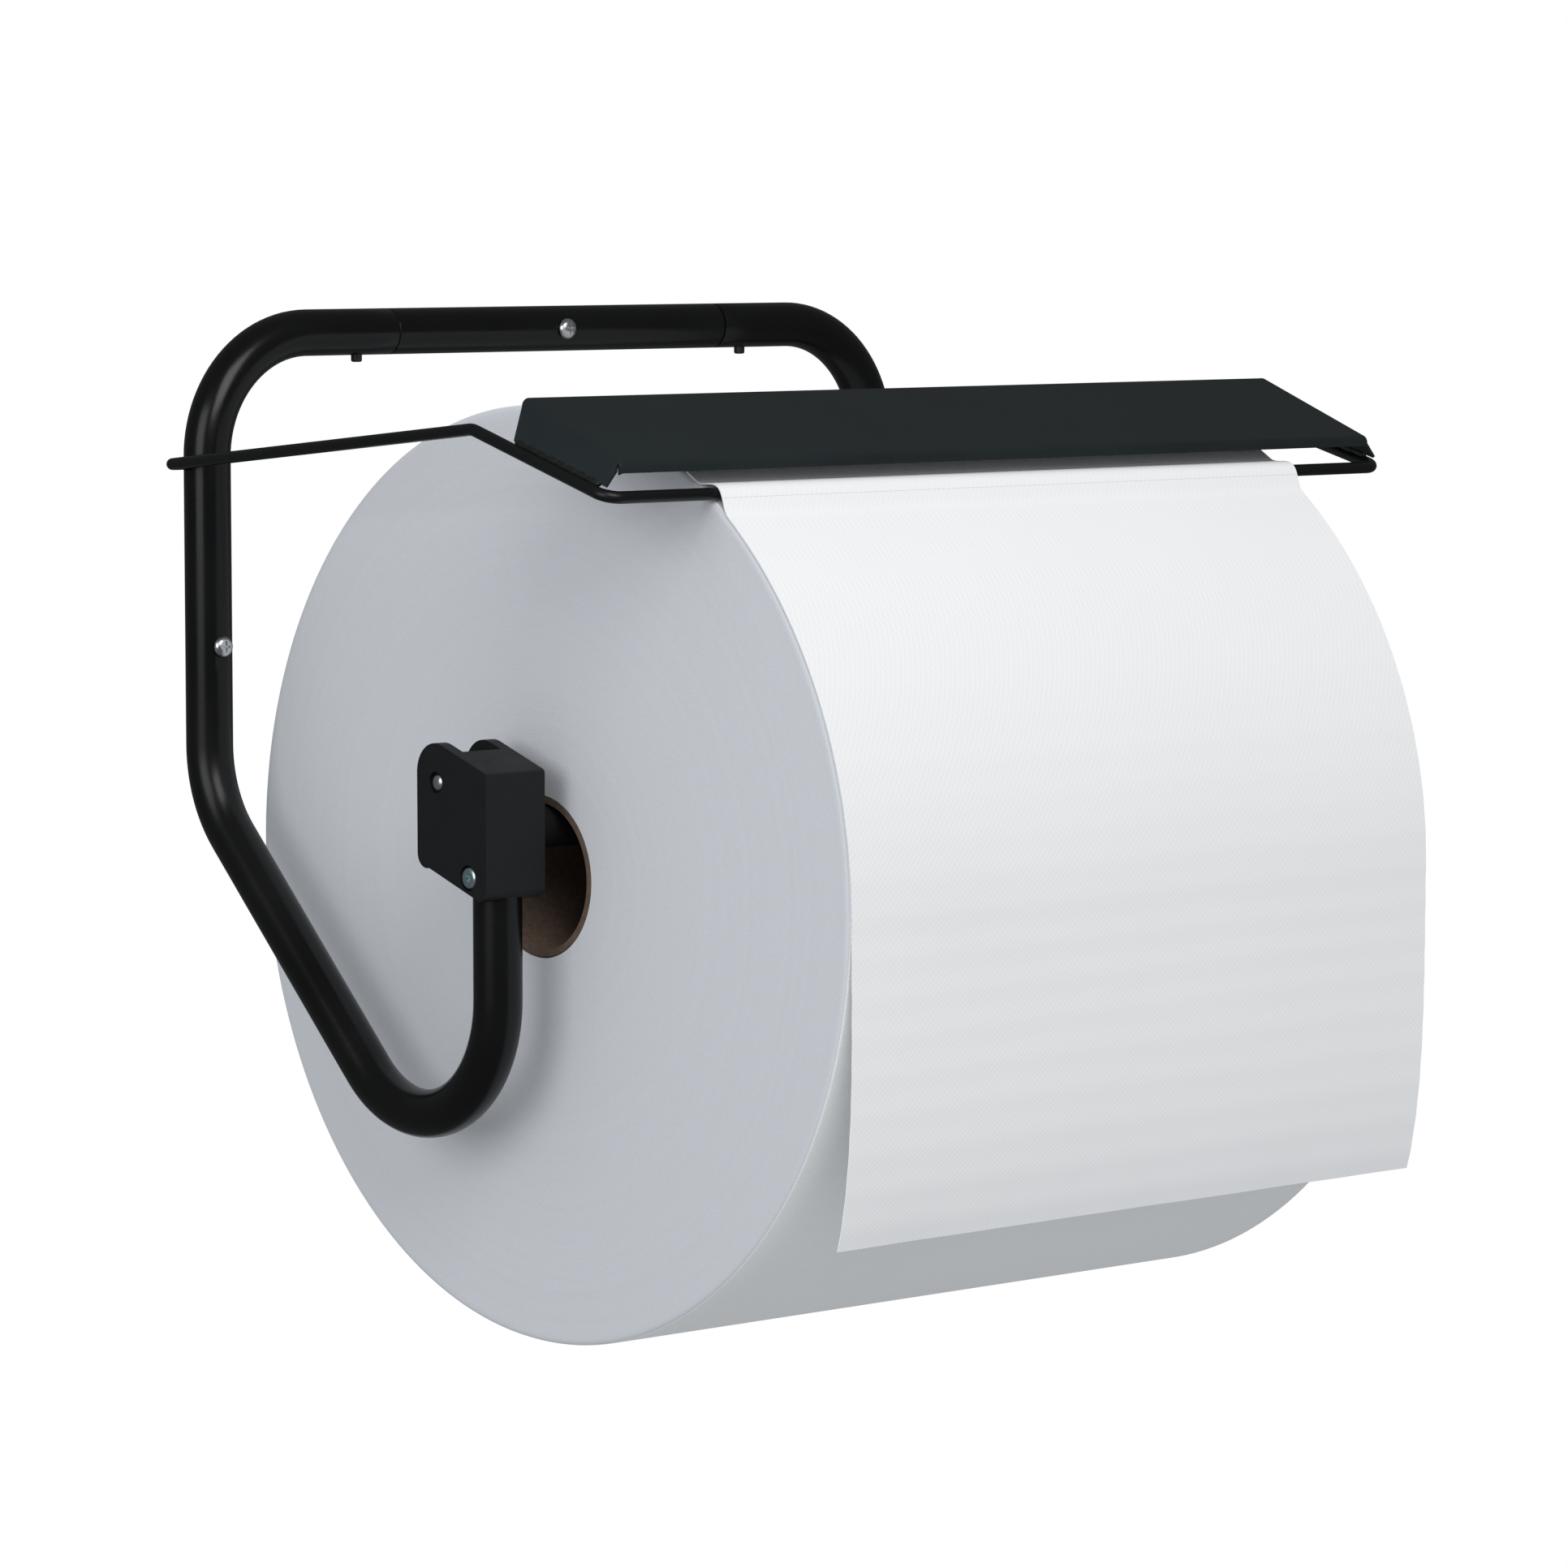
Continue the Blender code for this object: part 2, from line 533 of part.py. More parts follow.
def tear_plate(mat):
    """A folded sheet: a sloping top, a lip along the front, and an end flange down to the wire on each side."""
    bend = 3.5
    stations = [0.0, 0.5, 0.92, 1.0]
    rows = []
    bm = bmesh.new()
    for k in stations:
        xh = PLATE_REAR[0] + k * (PLATE_FRONT[0] - PLATE_REAR[0])
        y = PLATE_REAR[1] + k * (PLATE_FRONT[1] - PLATE_REAR[1])
        z = PLATE_REAR[2] + k * (PLATE_FRONT[2] - PLATE_REAR[2])
        foot_z = wire_height(y) + WIRE_R / math.cos(0.28) + 1.0 + 0.6 * k
        foot_x = wire_x(y) - 0.3
        row = [(-foot_x, y, foot_z)]
        for step in range(5):
            a = math.radians(90 * step / 4)
            row.append((-(xh + 0.6 - bend + bend * math.cos(a)), y, z - bend + bend * math.sin(a)))
        row += [(-x, yy, zz) for x, yy, zz in reversed(row)]
        rows.append([bm.verts.new(p) for p in row])
    for a, b in zip(rows, rows[1:]):
        for i in range(len(a) - 1):
            bm.faces.new((a[i], a[i + 1], b[i + 1], b[i]))
    # front lip below the top's straight part
    front = rows[-1][5:-5]
    first = [bm.verts.new(v.co + Vector((0, -0.9, -1.3))) for v in front]
    last = [bm.verts.new(v.co + Vector((0, -0.9, -LIP_H))) for v in front]
    for a, b in ((front, first), (first, last)):
        for i in range(len(a) - 1):
            bm.faces.new((a[i], a[i + 1], b[i + 1], b[i]))
    bmesh.ops.recalc_face_normals(bm, faces=bm.faces)
    if sum(f.normal.z * f.calc_area() for f in bm.faces) < 0:
        bmesh.ops.reverse_faces(bm, faces=bm.faces)
    for v in bm.verts:
        v.co *= MM
    mesh = bpy.data.meshes.new("tear_plate")
    bm.to_mesh(mesh)
    bm.free()
    obj = bpy.data.objects.new("tear_plate", mesh)
    bpy.context.scene.collection.objects.link(obj)
    mesh.materials.append(mat)
    solid = obj.modifiers.new("sheet", "SOLIDIFY")
    solid.thickness = PLATE_T * MM
    solid.offset = -1.0
    solid.use_even_offset = True
    return obj


def ribbon(name, mid, thickness, width, mat, origin):
    """A sheet of paper: a path of (y, z) points given a thickness and carried along X."""
    a, b = [], []
    for i, (y, z) in enumerate(mid):
        p = Vector(mid[max(0, i - 1)])
        q = Vector(mid[min(len(mid) - 1, i + 1)])
        d = (q - p).normalized()
        n = Vector((-d.y, d.x)) * (thickness / 2)
        a.append((y + n.x, z + n.y))
        b.append((y - n.x, z - n.y))
    return add_object(name, prism(a + b[::-1], -width / 2, width / 2), mat, origin=origin)


def paper_path(from_deg, to_deg, steps):
    """The sheet's middle line where it lies round the roll and rises over the tear bar's front bar.
    Angles are about the roll's axis, from +Y up and over to the front."""
    out = []
    bar = math.degrees(math.atan2(Z_BAR - Z_ROLL, Y_BAR - Y_ROLL))
    clear = WIRE_R + SHEET_GAP + SHEET_T / 2
    rest = ROLL_R + SHEET_GAP + SHEET_T / 2
    bar_d = math.hypot(Y_BAR - Y_ROLL, Z_BAR - Z_ROLL)
    for k in range(steps + 1):
        a = from_deg + (to_deg - from_deg) * k / steps
        off = math.radians(a - bar) * bar_d
        if abs(off) < clear * 0.98:
            lift = bar_d + math.sqrt(clear * clear - off * off)
        else:
            lift = 0.0
        # a stiff sheet leaves the bar in a smooth swell, not a kink
        span = 12.0
        swell = rest + (bar_d + clear + 0.1 - rest) * (0.5 + 0.5 * math.cos(math.pi * off / span)) if abs(off) < span else rest
        r = max(lift, swell, rest)
        out.append((Y_ROLL + r * math.cos(math.radians(a)), Z_ROLL + r * math.sin(math.radians(a))))
    return out, bar


def build_sheets(mat):
    rest = ROLL_R + SHEET_GAP + SHEET_T / 2
    _, bar = paper_path(90, 91, 1)
    split = bar + 1.35
    nip, _ = paper_path(bar - 5.6, split, 22)
    ribbon("sheet_in_tear_bar", nip, SHEET_T, ROLL_W, mat, (0, *PIVOT))
    gap_deg = math.degrees(0.35 / rest)
    draped, _ = paper_path(split + gap_deg, split + gap_deg + 6.0, 12)
    for k in range(1, 10):
        a = split + gap_deg + 6.0 + (181.5 - split - gap_deg - 6.0) * k / 9
        draped.append((Y_ROLL + rest * math.cos(math.radians(a)), Z_ROLL + rest * math.sin(math.radians(a))))
    # below the roll's widest point the sheet hangs free, and its end curls back
    y0, z0 = draped[-1]
    drop = z0 - Z_SHEET_END
    for k in range(1, 13):
        s = k / 12
        draped.append((y0 + 0.4 * s + 9.0 * s**4, z0 - drop * s))
    ribbon("hanging_sheet", draped, SHEET_T, ROLL_W, mat, (0, Y_ROLL, Z_ROLL))


# ===========================================================================
clear_scene()
black_tube = material("black_tube", (0.012, 0.012, 0.013), 0.32)
black_wire = material("black_wire", (0.014, 0.014, 0.015), 0.38)
plate_paint = material("plate_paint", (0.022, 0.030, 0.030), 0.42)
cradle_plastic = material("cradle_plastic", (0.016, 0.016, 0.017), 0.55)
black_nylon = material("black_nylon", (0.015, 0.015, 0.016), 0.5)
blue_zinc = material("blue_zinc", (0.50, 0.66, 0.70), 0.30, 1.0)
bright_zinc = material("bright_zinc", (0.62, 0.63, 0.65), 0.28, 1.0)
spring_steel = material("spring_steel", (0.35, 0.36, 0.38), 0.35, 1.0)
rod_steel = material("rod_steel", (0.55, 0.56, 0.58), 0.32, 1.0)
cardboard = material("cardboard", (0.30, 0.19, 0.12), 0.9)
paper = material("paper", (0.85, 0.86, 0.88), 0.85)

crossbar(black_tube)
for s in (-1, 1):
    side_tube(s, black_tube)
    snap_button(s, black_tube)
    snap_spring(s, spring_steel)
    cradle(s, cradle_plastic)
    cradle_bolt(s, blue_zinc)
    cradle_nut(s, blue_zinc)
    cradle_rivet(s, bright_zinc)
wall_screw("top_wall_screw", 0.0, 0.0, bright_zinc)
wall_screw("left_wall_screw", -X_SIDE, Z_SIDE_SCREW, bright_zinc)
wall_screw("right_wall_screw", X_SIDE, Z_SIDE_SCREW, bright_zinc)

spindle(black_nylon, rod_steel, spring_steel)
roll_axis_ring("core_tube", CORE_IR, CORE_OR, ROLL_W - 0.6, 48, cardboard)
roll_axis_ring("paper_roll", ROLL_IR, ROLL_R, ROLL_W, 96, paper, ease=2.5)
tear_wire(black_wire)
tear_plate(plate_paint)
build_sheets(paper)
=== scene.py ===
import math
import random

import bmesh
import bpy
from mathutils import Matrix, Vector, noise


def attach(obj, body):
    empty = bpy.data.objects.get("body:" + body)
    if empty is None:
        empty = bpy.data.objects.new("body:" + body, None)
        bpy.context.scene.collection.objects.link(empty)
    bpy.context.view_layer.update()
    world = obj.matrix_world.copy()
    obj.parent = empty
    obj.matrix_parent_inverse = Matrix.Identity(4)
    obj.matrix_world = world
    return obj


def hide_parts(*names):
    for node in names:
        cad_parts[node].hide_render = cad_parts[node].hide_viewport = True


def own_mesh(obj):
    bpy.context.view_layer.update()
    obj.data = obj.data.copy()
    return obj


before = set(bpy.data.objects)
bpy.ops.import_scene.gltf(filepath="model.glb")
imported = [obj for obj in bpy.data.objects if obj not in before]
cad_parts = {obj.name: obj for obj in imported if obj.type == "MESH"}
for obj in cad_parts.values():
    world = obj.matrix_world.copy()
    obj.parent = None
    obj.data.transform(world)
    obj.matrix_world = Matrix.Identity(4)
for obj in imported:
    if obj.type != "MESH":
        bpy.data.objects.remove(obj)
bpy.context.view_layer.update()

MM = 0.001

# ---- dimensions of the CAD model, in millimetres ---------------------------
TUBE_R, BORE_R, BEND_R = 10.0, 8.5, 52.0
X_SIDE, Y_TUBE, X_SEAM = 187.0, -10.0, 92.0
Z_LOWER_BEND, Y_STUB, Z_V, Z_STUB_TOP = -196.7, -209.5, -384.7, -208.1
X_BUTTON = 108.0
Z_SIDE_SCREW = -132.0
Y_ROLL, Z_ROLL, ROLL_R, ROLL_W = -201.0, -217.0, 191.5, 317.5
CORE_IR, CORE_OR, ROLL_IR = 30.0, 33.0, 33.35
Z_ROD = Z_ROLL + CORE_IR - 9.0 - 0.35
X_OUT, X_IN, CHEEK = 202.0, 172.0, 5.3
Y_FACE, Z_FACE_TOP = -221.5, -171.3
EAR, EAR_R = (-188.5, -173.4), 12.4
RIVET_Z = -177.0
BOLT = (-209.5, -214.0)
WIRE_R = 2.5
PIVOT = (Y_TUBE, -54.5)
X_PIVOT, X_LEG = 207.3, 177.7
HEAD_R, HEAD_H = 4.7, 3.8
CREST = (209.8, -224.0, -33.5)
X_BAR, Y_BAR = 212.2, Y_ROLL - 111.0
Z_BAR = Z_ROLL + math.sqrt((ROLL_R + 0.4 + WIRE_R) ** 2 - 111.0**2)
PLATE_REAR = (205.5, -251.0, -20.5)
PLATE_FRONT = (206.5, -310.6, -43.6)
LIP_H = 4.6
SHEET_REST = ROLL_R + 0.35 + 0.3
Z_SHEET_END = -347.0


# ===========================================================================
# mesh helpers, in millimetres
# ===========================================================================
def finish_mesh(name, bm, mats, smooth=40.0, weld=1e-4):
    if weld:
        bmesh.ops.remove_doubles(bm, verts=bm.verts, dist=weld)
    bmesh.ops.recalc_face_normals(bm, faces=bm.faces)
    if bm.calc_volume(signed=True) < 0:
        bmesh.ops.reverse_faces(bm, faces=bm.faces)
    for v in bm.verts:
        v.co *= MM
    mesh = bpy.data.meshes.new(name)
    bm.to_mesh(mesh)
    bm.free()
    obj = bpy.data.objects.new(name, mesh)
    bpy.context.scene.collection.objects.link(obj)
    for m in mats if isinstance(mats, (list, tuple)) else [mats]:
        mesh.materials.append(m)
    mesh.shade_smooth()
    if smooth:
        mesh.set_sharp_from_angle(angle=math.radians(smooth))
    return obj


def apply_modifiers(obj, smooth=40.0):
    graph = bpy.context.evaluated_depsgraph_get()
    mesh = bpy.data.meshes.new_from_object(obj.evaluated_get(graph))
    old = obj.data
    obj.modifiers.clear()
    obj.data = mesh
    mesh.name = obj.name
    bpy.data.meshes.remove(old)
    mesh.shade_smooth()
    if smooth:
        mesh.set_sharp_from_angle(angle=math.radians(smooth))
    return obj


def boolean(obj, cutters, smooth=40.0):
    for c in cutters:
        m = obj.modifiers.new("cut", "BOOLEAN")
        m.operation, m.solver, m.object = "DIFFERENCE", "EXACT", c
    apply_modifiers(obj, smooth)
    for c in cutters:
        bpy.data.objects.remove(c, do_unlink=True)
    return obj


def even_normals(obj):
    """Keeps the big flat faces flat where small eased edges meet them."""
    m = obj.modifiers.new("even", "WEIGHTED_NORMAL")
    m.weight, m.keep_sharp = 100, True
    graph = bpy.context.evaluated_depsgraph_get()
    mesh = bpy.data.meshes.new_from_object(obj.evaluated_get(graph))
    old = obj.data
    obj.modifiers.clear()
    obj.data = mesh
    mesh.name = obj.name
    bpy.data.meshes.remove(old)


def bevel(obj, width, segments=3, angle=30.0, smooth=40.0):
    m = obj.modifiers.new("ease", "BEVEL")
    m.width, m.segments, m.limit_method = width * MM, segments, "ANGLE"
    m.angle_limit = math.radians(angle)
    m.harden_normals = False
    return apply_modifiers(obj, smooth)


def axes_for(direction, up):
    t = Vector(direction).normalized()
    u = Vector(up)
    u = (u - t * u.dot(t)).normalized()
    return t, u, t.cross(u)


def ring(bm, c, u, v, r, n, wobble=None):
    out = []
    for i in range(n):
        a = 2 * math.pi * (i + 0.5) / n
        out.append(bm.verts.new(Vector(c) + u * (r * math.cos(a)) + v * (r * math.sin(a))))
    return out


def bridge(bm, a, b, close=True):
    n = len(a)
    for i in range(n if close else n - 1):
        bm.faces.new((a[i], a[(i + 1) % n], b[(i + 1) % n], b[i]))


def filleted(points, radii, step):
    pts = [Vector(p) for p in points]
    out = [(pts[0], (pts[1] - pts[0]).normalized())]
    for i in range(1, len(pts) - 1):
        d0 = (pts[i] - pts[i - 1]).normalized()
        d1 = (pts[i + 1] - pts[i]).normalized()
        angle = d0.angle(d1)
        r = radii[i - 1]
        start = pts[i] - d0 * (r * math.tan(angle / 2))
        axis = d0.cross(d1).normalized()
        centre = start + axis.cross(d0) * r
        n = max(2, round(math.degrees(angle) / step))
        for k in range(n + 1):
            rot = Matrix.Rotation(angle * k / n, 3, axis)
            out.append((centre + rot @ (start - centre), rot @ d0))
    out.append((pts[-1], (pts[-1] - pts[-2]).normalized()))
    return out


def densify(path, step):
    """Adds points along the straight runs, so no face is long and thin."""
    out = [path[0]]
    for (p, t), (q, s) in zip(path, path[1:]):
        n = max(1, int((q - p).length / step))
        for k in range(1, n):
            out.append((p.lerp(q, k / n), t.lerp(s, k / n).normalized()))
        out.append((q, s))
    return out


def sweep(path, up, radius, n, bore=None):
    bm = bmesh.new()
    u = Vector(up)
    rings, inner = [], []
    for p, t in path:
        u = (u - t * u.dot(t)).normalized()
        rings.append(ring(bm, p, u, t.cross(u), radius, n))
        if bore:
            inner.append(ring(bm, p, u, t.cross(u), bore, n))
    for a, b in zip(rings, rings[1:]):
        bridge(bm, a, b)
    if bore:
        for a, b in zip(inner, inner[1:]):
            bridge(bm, a, b)
        bridge(bm, rings[0], inner[0])
        bridge(bm, rings[-1], inner[-1])
    else:
        bm.faces.new(rings[0])
        bm.faces.new(rings[-1])
    return bm


def lathe(profile, base, axis, up, n):
    t, u, v = axes_for(axis, up)
    base = Vector(base)
    bm = bmesh.new()
    rows = []
    for a, r in profile:
        c = base + t * a
        rows.append([bm.verts.new(c)] if r < 1e-9 else ring(bm, c, u, v, r, n))
    for a, b in zip(rows, rows[1:]):
        if len(a) == 1 and len(b) == 1:
            continue
        if len(a) == 1:
            for i in range(n):
                bm.faces.new((a[0], b[(i + 1) % n], b[i]))
        elif len(b) == 1:
            for i in range(n):
                bm.faces.new((a[i], a[(i + 1) % n], b[0]))
        else:
            bridge(bm, a, b)
    if len(rows[0]) > 1 and len(rows[-1]) > 1:
        bridge(bm, rows[-1], rows[0])
    return bm


def cylinder(a, b, r, n, up=(0, 0, 1)):
    a, b = Vector(a), Vector(b)
    return lathe([(0, 0), (0, r), ((b - a).length, r), ((b - a).length, 0)], a, b - a, up, n)


def prism(points, x0, x1):
    bm = bmesh.new()
    near = [bm.verts.new((x0, y, z)) for y, z in points]
    far = [bm.verts.new((x1, y, z)) for y, z in points]
    bm.faces.new(near)
    bm.faces.new(far)
    bridge(bm, near, far)
    return bm


def box_bm(lo, hi):
    return prism([(lo[1], lo[2]), (hi[1], lo[2]), (hi[1], hi[2]), (lo[1], hi[2])], lo[0], hi[0])


def arc(cy, cz, r, a0, a1, n):
    return [
        (cy + r * math.cos(math.radians(a0 + (a1 - a0) * k / n)), cz + r * math.sin(math.radians(a0 + (a1 - a0) * k / n)))
        for k in range(n + 1)
    ]


def cutter(bm):
    return finish_mesh("cutter", bm, [], smooth=0)


# ===========================================================================
# materials
# ===========================================================================
def new_material(name, rgb, rough, metallic=0.0, **sockets):
    mat = bpy.data.materials.new(name)
    mat.use_nodes = True
    tree = mat.node_tree
    bsdf = tree.nodes["Principled BSDF"]
    bsdf.inputs["Base Color"].default_value = (*rgb, 1)
    bsdf.inputs["Roughness"].default_value = rough
    bsdf.inputs["Metallic"].default_value = metallic
    for k, v in sockets.items():
        bsdf.inputs[k.replace("_", " ")].default_value = v
    mat.diffuse_color = (*rgb, 1)
    return mat, tree, bsdf


def node(tree, kind, **values):
    n = tree.nodes.new(kind)
    for k, v in values.items():
        if k in n.inputs:
            n.inputs[k].default_value = v
        else:
            setattr(n, k, v)
    return n


def coords(tree):
    return tree.nodes.new("ShaderNodeTexCoord").outputs["Object"]


def noise_tex(tree, vec, scale, detail=3.0, rough=0.55):
    n = tree.nodes.new("ShaderNodeTexNoise")
    n.inputs["Scale"].default_value = scale
    n.inputs["Detail"].default_value = detail
    n.inputs["Roughness"].default_value = rough
    tree.links.new(vec, n.inputs["Vector"])
    return n.outputs["Fac"]


def ramp(tree, fac, stops):
    r = tree.nodes.new("ShaderNodeValToRGB")
    e = r.color_ramp.elements
    while len(e) < len(stops):
        e.new(0.5)
    for i, (pos, col) in enumerate(stops):
        e[i].position = pos
        e[i].color = (*col, 1) if len(col) == 3 else col
    tree.links.new(fac, r.inputs["Fac"])
    return r.outputs["Color"]


def remap(tree, fac, lo, hi, a=0.0, b=1.0):
    m = tree.nodes.new("ShaderNodeMapRange")
    m.inputs["From Min"].default_value, m.inputs["From Max"].default_value = a, b
    m.inputs["To Min"].default_value, m.inputs["To Max"].default_value = lo, hi
    tree.links.new(fac, m.inputs["Value"])
    return m.outputs["Result"]


def bump(tree, bsdf, height, strength, distance, before=None):
    b = tree.nodes.new("ShaderNodeBump")
    b.inputs["Strength"].default_value = strength
    b.inputs["Distance"].default_value = distance
    tree.links.new(height, b.inputs["Height"])
    if before is not None:
        tree.links.new(before, b.inputs["Normal"])
    tree.links.new(b.outputs["Normal"], bsdf.inputs["Normal"])
    return b.outputs["Normal"]


def mix_color(tree, fac, a, b):
    m = tree.nodes.new("ShaderNodeMix")
    m.data_type = "RGBA"
    tree.links.new(fac, m.inputs[0])
    for sock, val in ((m.inputs[6], a), (m.inputs[7], b)):
        if isinstance(val, tuple):
            sock.default_value = (*val, 1)
        else:
            tree.links.new(val, sock)
    return m.outputs[2]


def powder_coat(name, rgb, rough, peel=420.0, peel_depth=0.00005, spec=0.4):
    """Sprayed powder: a fine orange peel, a slow change of gloss, and small scuffs."""
    mat, t, b = new_material(name, rgb, rough, Specular_IOR_Level=spec)
    c = coords(t)
    peel_fac = noise_tex(t, c, peel, 2.0, 0.5)
    slow = noise_tex(t, c, 16.0, 3.0, 0.6)
    scuff = noise_tex(t, c, 260.0, 5.0, 0.72)
    t.links.new(remap(t, slow, rough - 0.05, rough + 0.07, 0.3, 0.7), b.inputs["Roughness"])
    mask = remap(t, scuff, 0.0, 1.0, 0.70, 0.80)
    lighter = tuple(min(1.0, x * 2.6 + 0.012) for x in rgb)
    base = mix_color(t, remap(t, slow, 0.0, 1.0, 0.25, 0.75), tuple(x * 0.85 for x in rgb), tuple(x * 1.2 for x in rgb))
    t.links.new(mix_color(t, mask, base, lighter), b.inputs["Base Color"])
    bump(t, b, peel_fac, 0.35, peel_depth)
    return mat


def moulded_plastic(name, rgb, rough):
    mat, t, b = new_material(name, rgb, rough, Specular_IOR_Level=0.22)
    c = coords(t)
    fine = noise_tex(t, c, 1500.0, 2.0, 0.6)
    slow = noise_tex(t, c, 60.0, 3.0, 0.6)
    t.links.new(remap(t, slow, rough - 0.06, rough + 0.06, 0.3, 0.7), b.inputs["Roughness"])
    t.links.new(mix_color(t, slow, tuple(x * 0.85 for x in rgb), tuple(x * 1.2 for x in rgb)), b.inputs["Base Color"])
    bump(t, b, fine, 0.5, 0.00006)
    return mat


def zinc(name, rgb, tint, rough):
    """Electroplated zinc: soft spangle in colour and gloss."""
    mat, t, b = new_material(name, rgb, rough, 1.0)
    c = coords(t)
    spangle = noise_tex(t, c, 420.0, 4.0, 0.65)
    slow = noise_tex(t, c, 110.0, 2.0, 0.5)
    t.links.new(mix_color(t, remap(t, slow, 0, 1, 0.3, 0.7), rgb, tint), b.inputs["Base Color"])
    t.links.new(remap(t, spangle, rough - 0.08, rough + 0.12, 0.3, 0.7), b.inputs["Roughness"])
    bump(t, b, spangle, 0.25, 0.00004)
    return mat


def steel(name, rgb, rough):
    mat, t, b = new_material(name, rgb, rough, 1.0)
    c = coords(t)
    g = noise_tex(t, c, 800.0, 3.0, 0.6)
    t.links.new(remap(t, g, rough - 0.07, rough + 0.1, 0.3, 0.7), b.inputs["Roughness"])
    bump(t, b, g, 0.2, 0.00003)
    return mat


def sheet_paper(name):
    """Soft two-ply tissue: a close emboss of small dots in rows, fine fibre, and broad soft unevenness."""
    mat, t, b = new_material(name, (0.80, 0.815, 0.835), 0.88, Specular_IOR_Level=0.25)
    c = coords(t)
    fibre = noise_tex(t, c, 900.0, 4.0, 0.7)
    cloud = noise_tex(t, c, 14.0, 3.0, 0.5)
    sep = node(t, "ShaderNodeSeparateXYZ")
    t.links.new(c, sep.inputs[0])
    # distance along the sheet is close to Z where it hangs and to Y at the top, so both run in the rows
    along = node(t, "ShaderNodeMath", operation="SUBTRACT")
    t.links.new(sep.outputs["Z"], along.inputs[0])
    t.links.new(sep.outputs["Y"], along.inputs[1])

    def sine(value, period, phase=0.0):
        k = node(t, "ShaderNodeMath", operation="MULTIPLY_ADD")
        k.inputs[1].default_value = 2 * math.pi / period
        k.inputs[2].default_value = phase
        t.links.new(value, k.inputs[0])
        s = node(t, "ShaderNodeMath", operation="SINE")
        t.links.new(k.outputs[0], s.inputs[0])
        return s.outputs[0]

    dots = node(t, "ShaderNodeMath", operation="MULTIPLY")
    t.links.new(sine(sep.outputs["X"], 0.0026), dots.inputs[0])
    t.links.new(sine(along.outputs[0], 0.0026), dots.inputs[1])
    rows = sine(along.outputs[0], 0.0150)
    height = node(t, "ShaderNodeMath", operation="MULTIPLY_ADD")
    t.links.new(rows, height.inputs[0])
    height.inputs[1].default_value = 0.16
    t.links.new(dots.outputs[0], height.inputs[2])
    add = node(t, "ShaderNodeMath", operation="MULTIPLY_ADD")
    t.links.new(fibre, add.inputs[0])
    add.inputs[1].default_value = 1.1
    t.links.new(height.outputs[0], add.inputs[2])
    bump(t, b, add.outputs[0], 0.28, 0.00010)
    # the emboss's dents are painted a little darker and its raised parts a little lighter: painted shade of the relief
    shade = remap(t, height.outputs[0], 0.0, 1.0, -1.2, 1.2)
    base = mix_color(t, shade, (0.835, 0.845, 0.862), (0.865, 0.872, 0.885))
    t.links.new(mix_color(t, remap(t, cloud, 0.0, 0.35, 0.35, 0.65), base, (0.83, 0.842, 0.860)), b.inputs["Base Color"])
    return mat


def wound_edge(name):
    """The end of a wound roll: hundreds of paper edges, seen as fine rings with a few darker and paler bands. Its
    grey-blue colour, well below the sheet's, is partly the packed edges' own tone and partly painted shade of the end
    face.
    """
    mat, t, b = new_material(name, (0.55, 0.58, 0.63), 0.92, Specular_IOR_Level=0.2)
    c = coords(t)
    sep = node(t, "ShaderNodeSeparateXYZ")
    t.links.new(c, sep.inputs[0])
    flat = node(t, "ShaderNodeCombineXYZ")
    t.links.new(sep.outputs["Y"], flat.inputs["Y"])
    t.links.new(sep.outputs["Z"], flat.inputs["Z"])
    length = node(t, "ShaderNodeVectorMath", operation="LENGTH")
    t.links.new(flat.outputs[0], length.inputs[0])
    wob = noise_tex(t, c, 7.0, 2.0, 0.5)
    radius = node(t, "ShaderNodeMath", operation="MULTIPLY_ADD")
    t.links.new(wob, radius.inputs[0])
    radius.inputs[1].default_value = 0.0045
    t.links.new(length.outputs["Value"], radius.inputs[2])
    line = node(t, "ShaderNodeCombineXYZ")
    t.links.new(radius.outputs[0], line.inputs["X"])
    fine = noise_tex(t, line.outputs[0], 1500.0, 2.0, 0.7)
    bands = noise_tex(t, line.outputs[0], 170.0, 3.0, 0.6)
    fibre = noise_tex(t, c, 700.0, 4.0, 0.7)
    # grey-blue base well below the sheet's paper: partly the edges' own tone, partly painted shade of the end face
    col = mix_color(t, remap(t, bands, 0, 1, 0.3, 0.7), (0.572, 0.592, 0.628), (0.588, 0.608, 0.643))
    col = mix_color(t, remap(t, fine, 0.0, 0.35, 0.5, 0.9), col, (0.548, 0.568, 0.604))
    t.links.new(mix_color(t, remap(t, fibre, 0.0, 0.18, 0.4, 0.7), col, (0.68, 0.70, 0.73)), b.inputs["Base Color"])
    h = node(t, "ShaderNodeMath", operation="MULTIPLY_ADD")
    t.links.new(fine, h.inputs[0])
    h.inputs[1].default_value = 0.7
    t.links.new(fibre, h.inputs[2])
    bump(t, b, h.outputs[0], 0.5, 0.00022)
    return mat


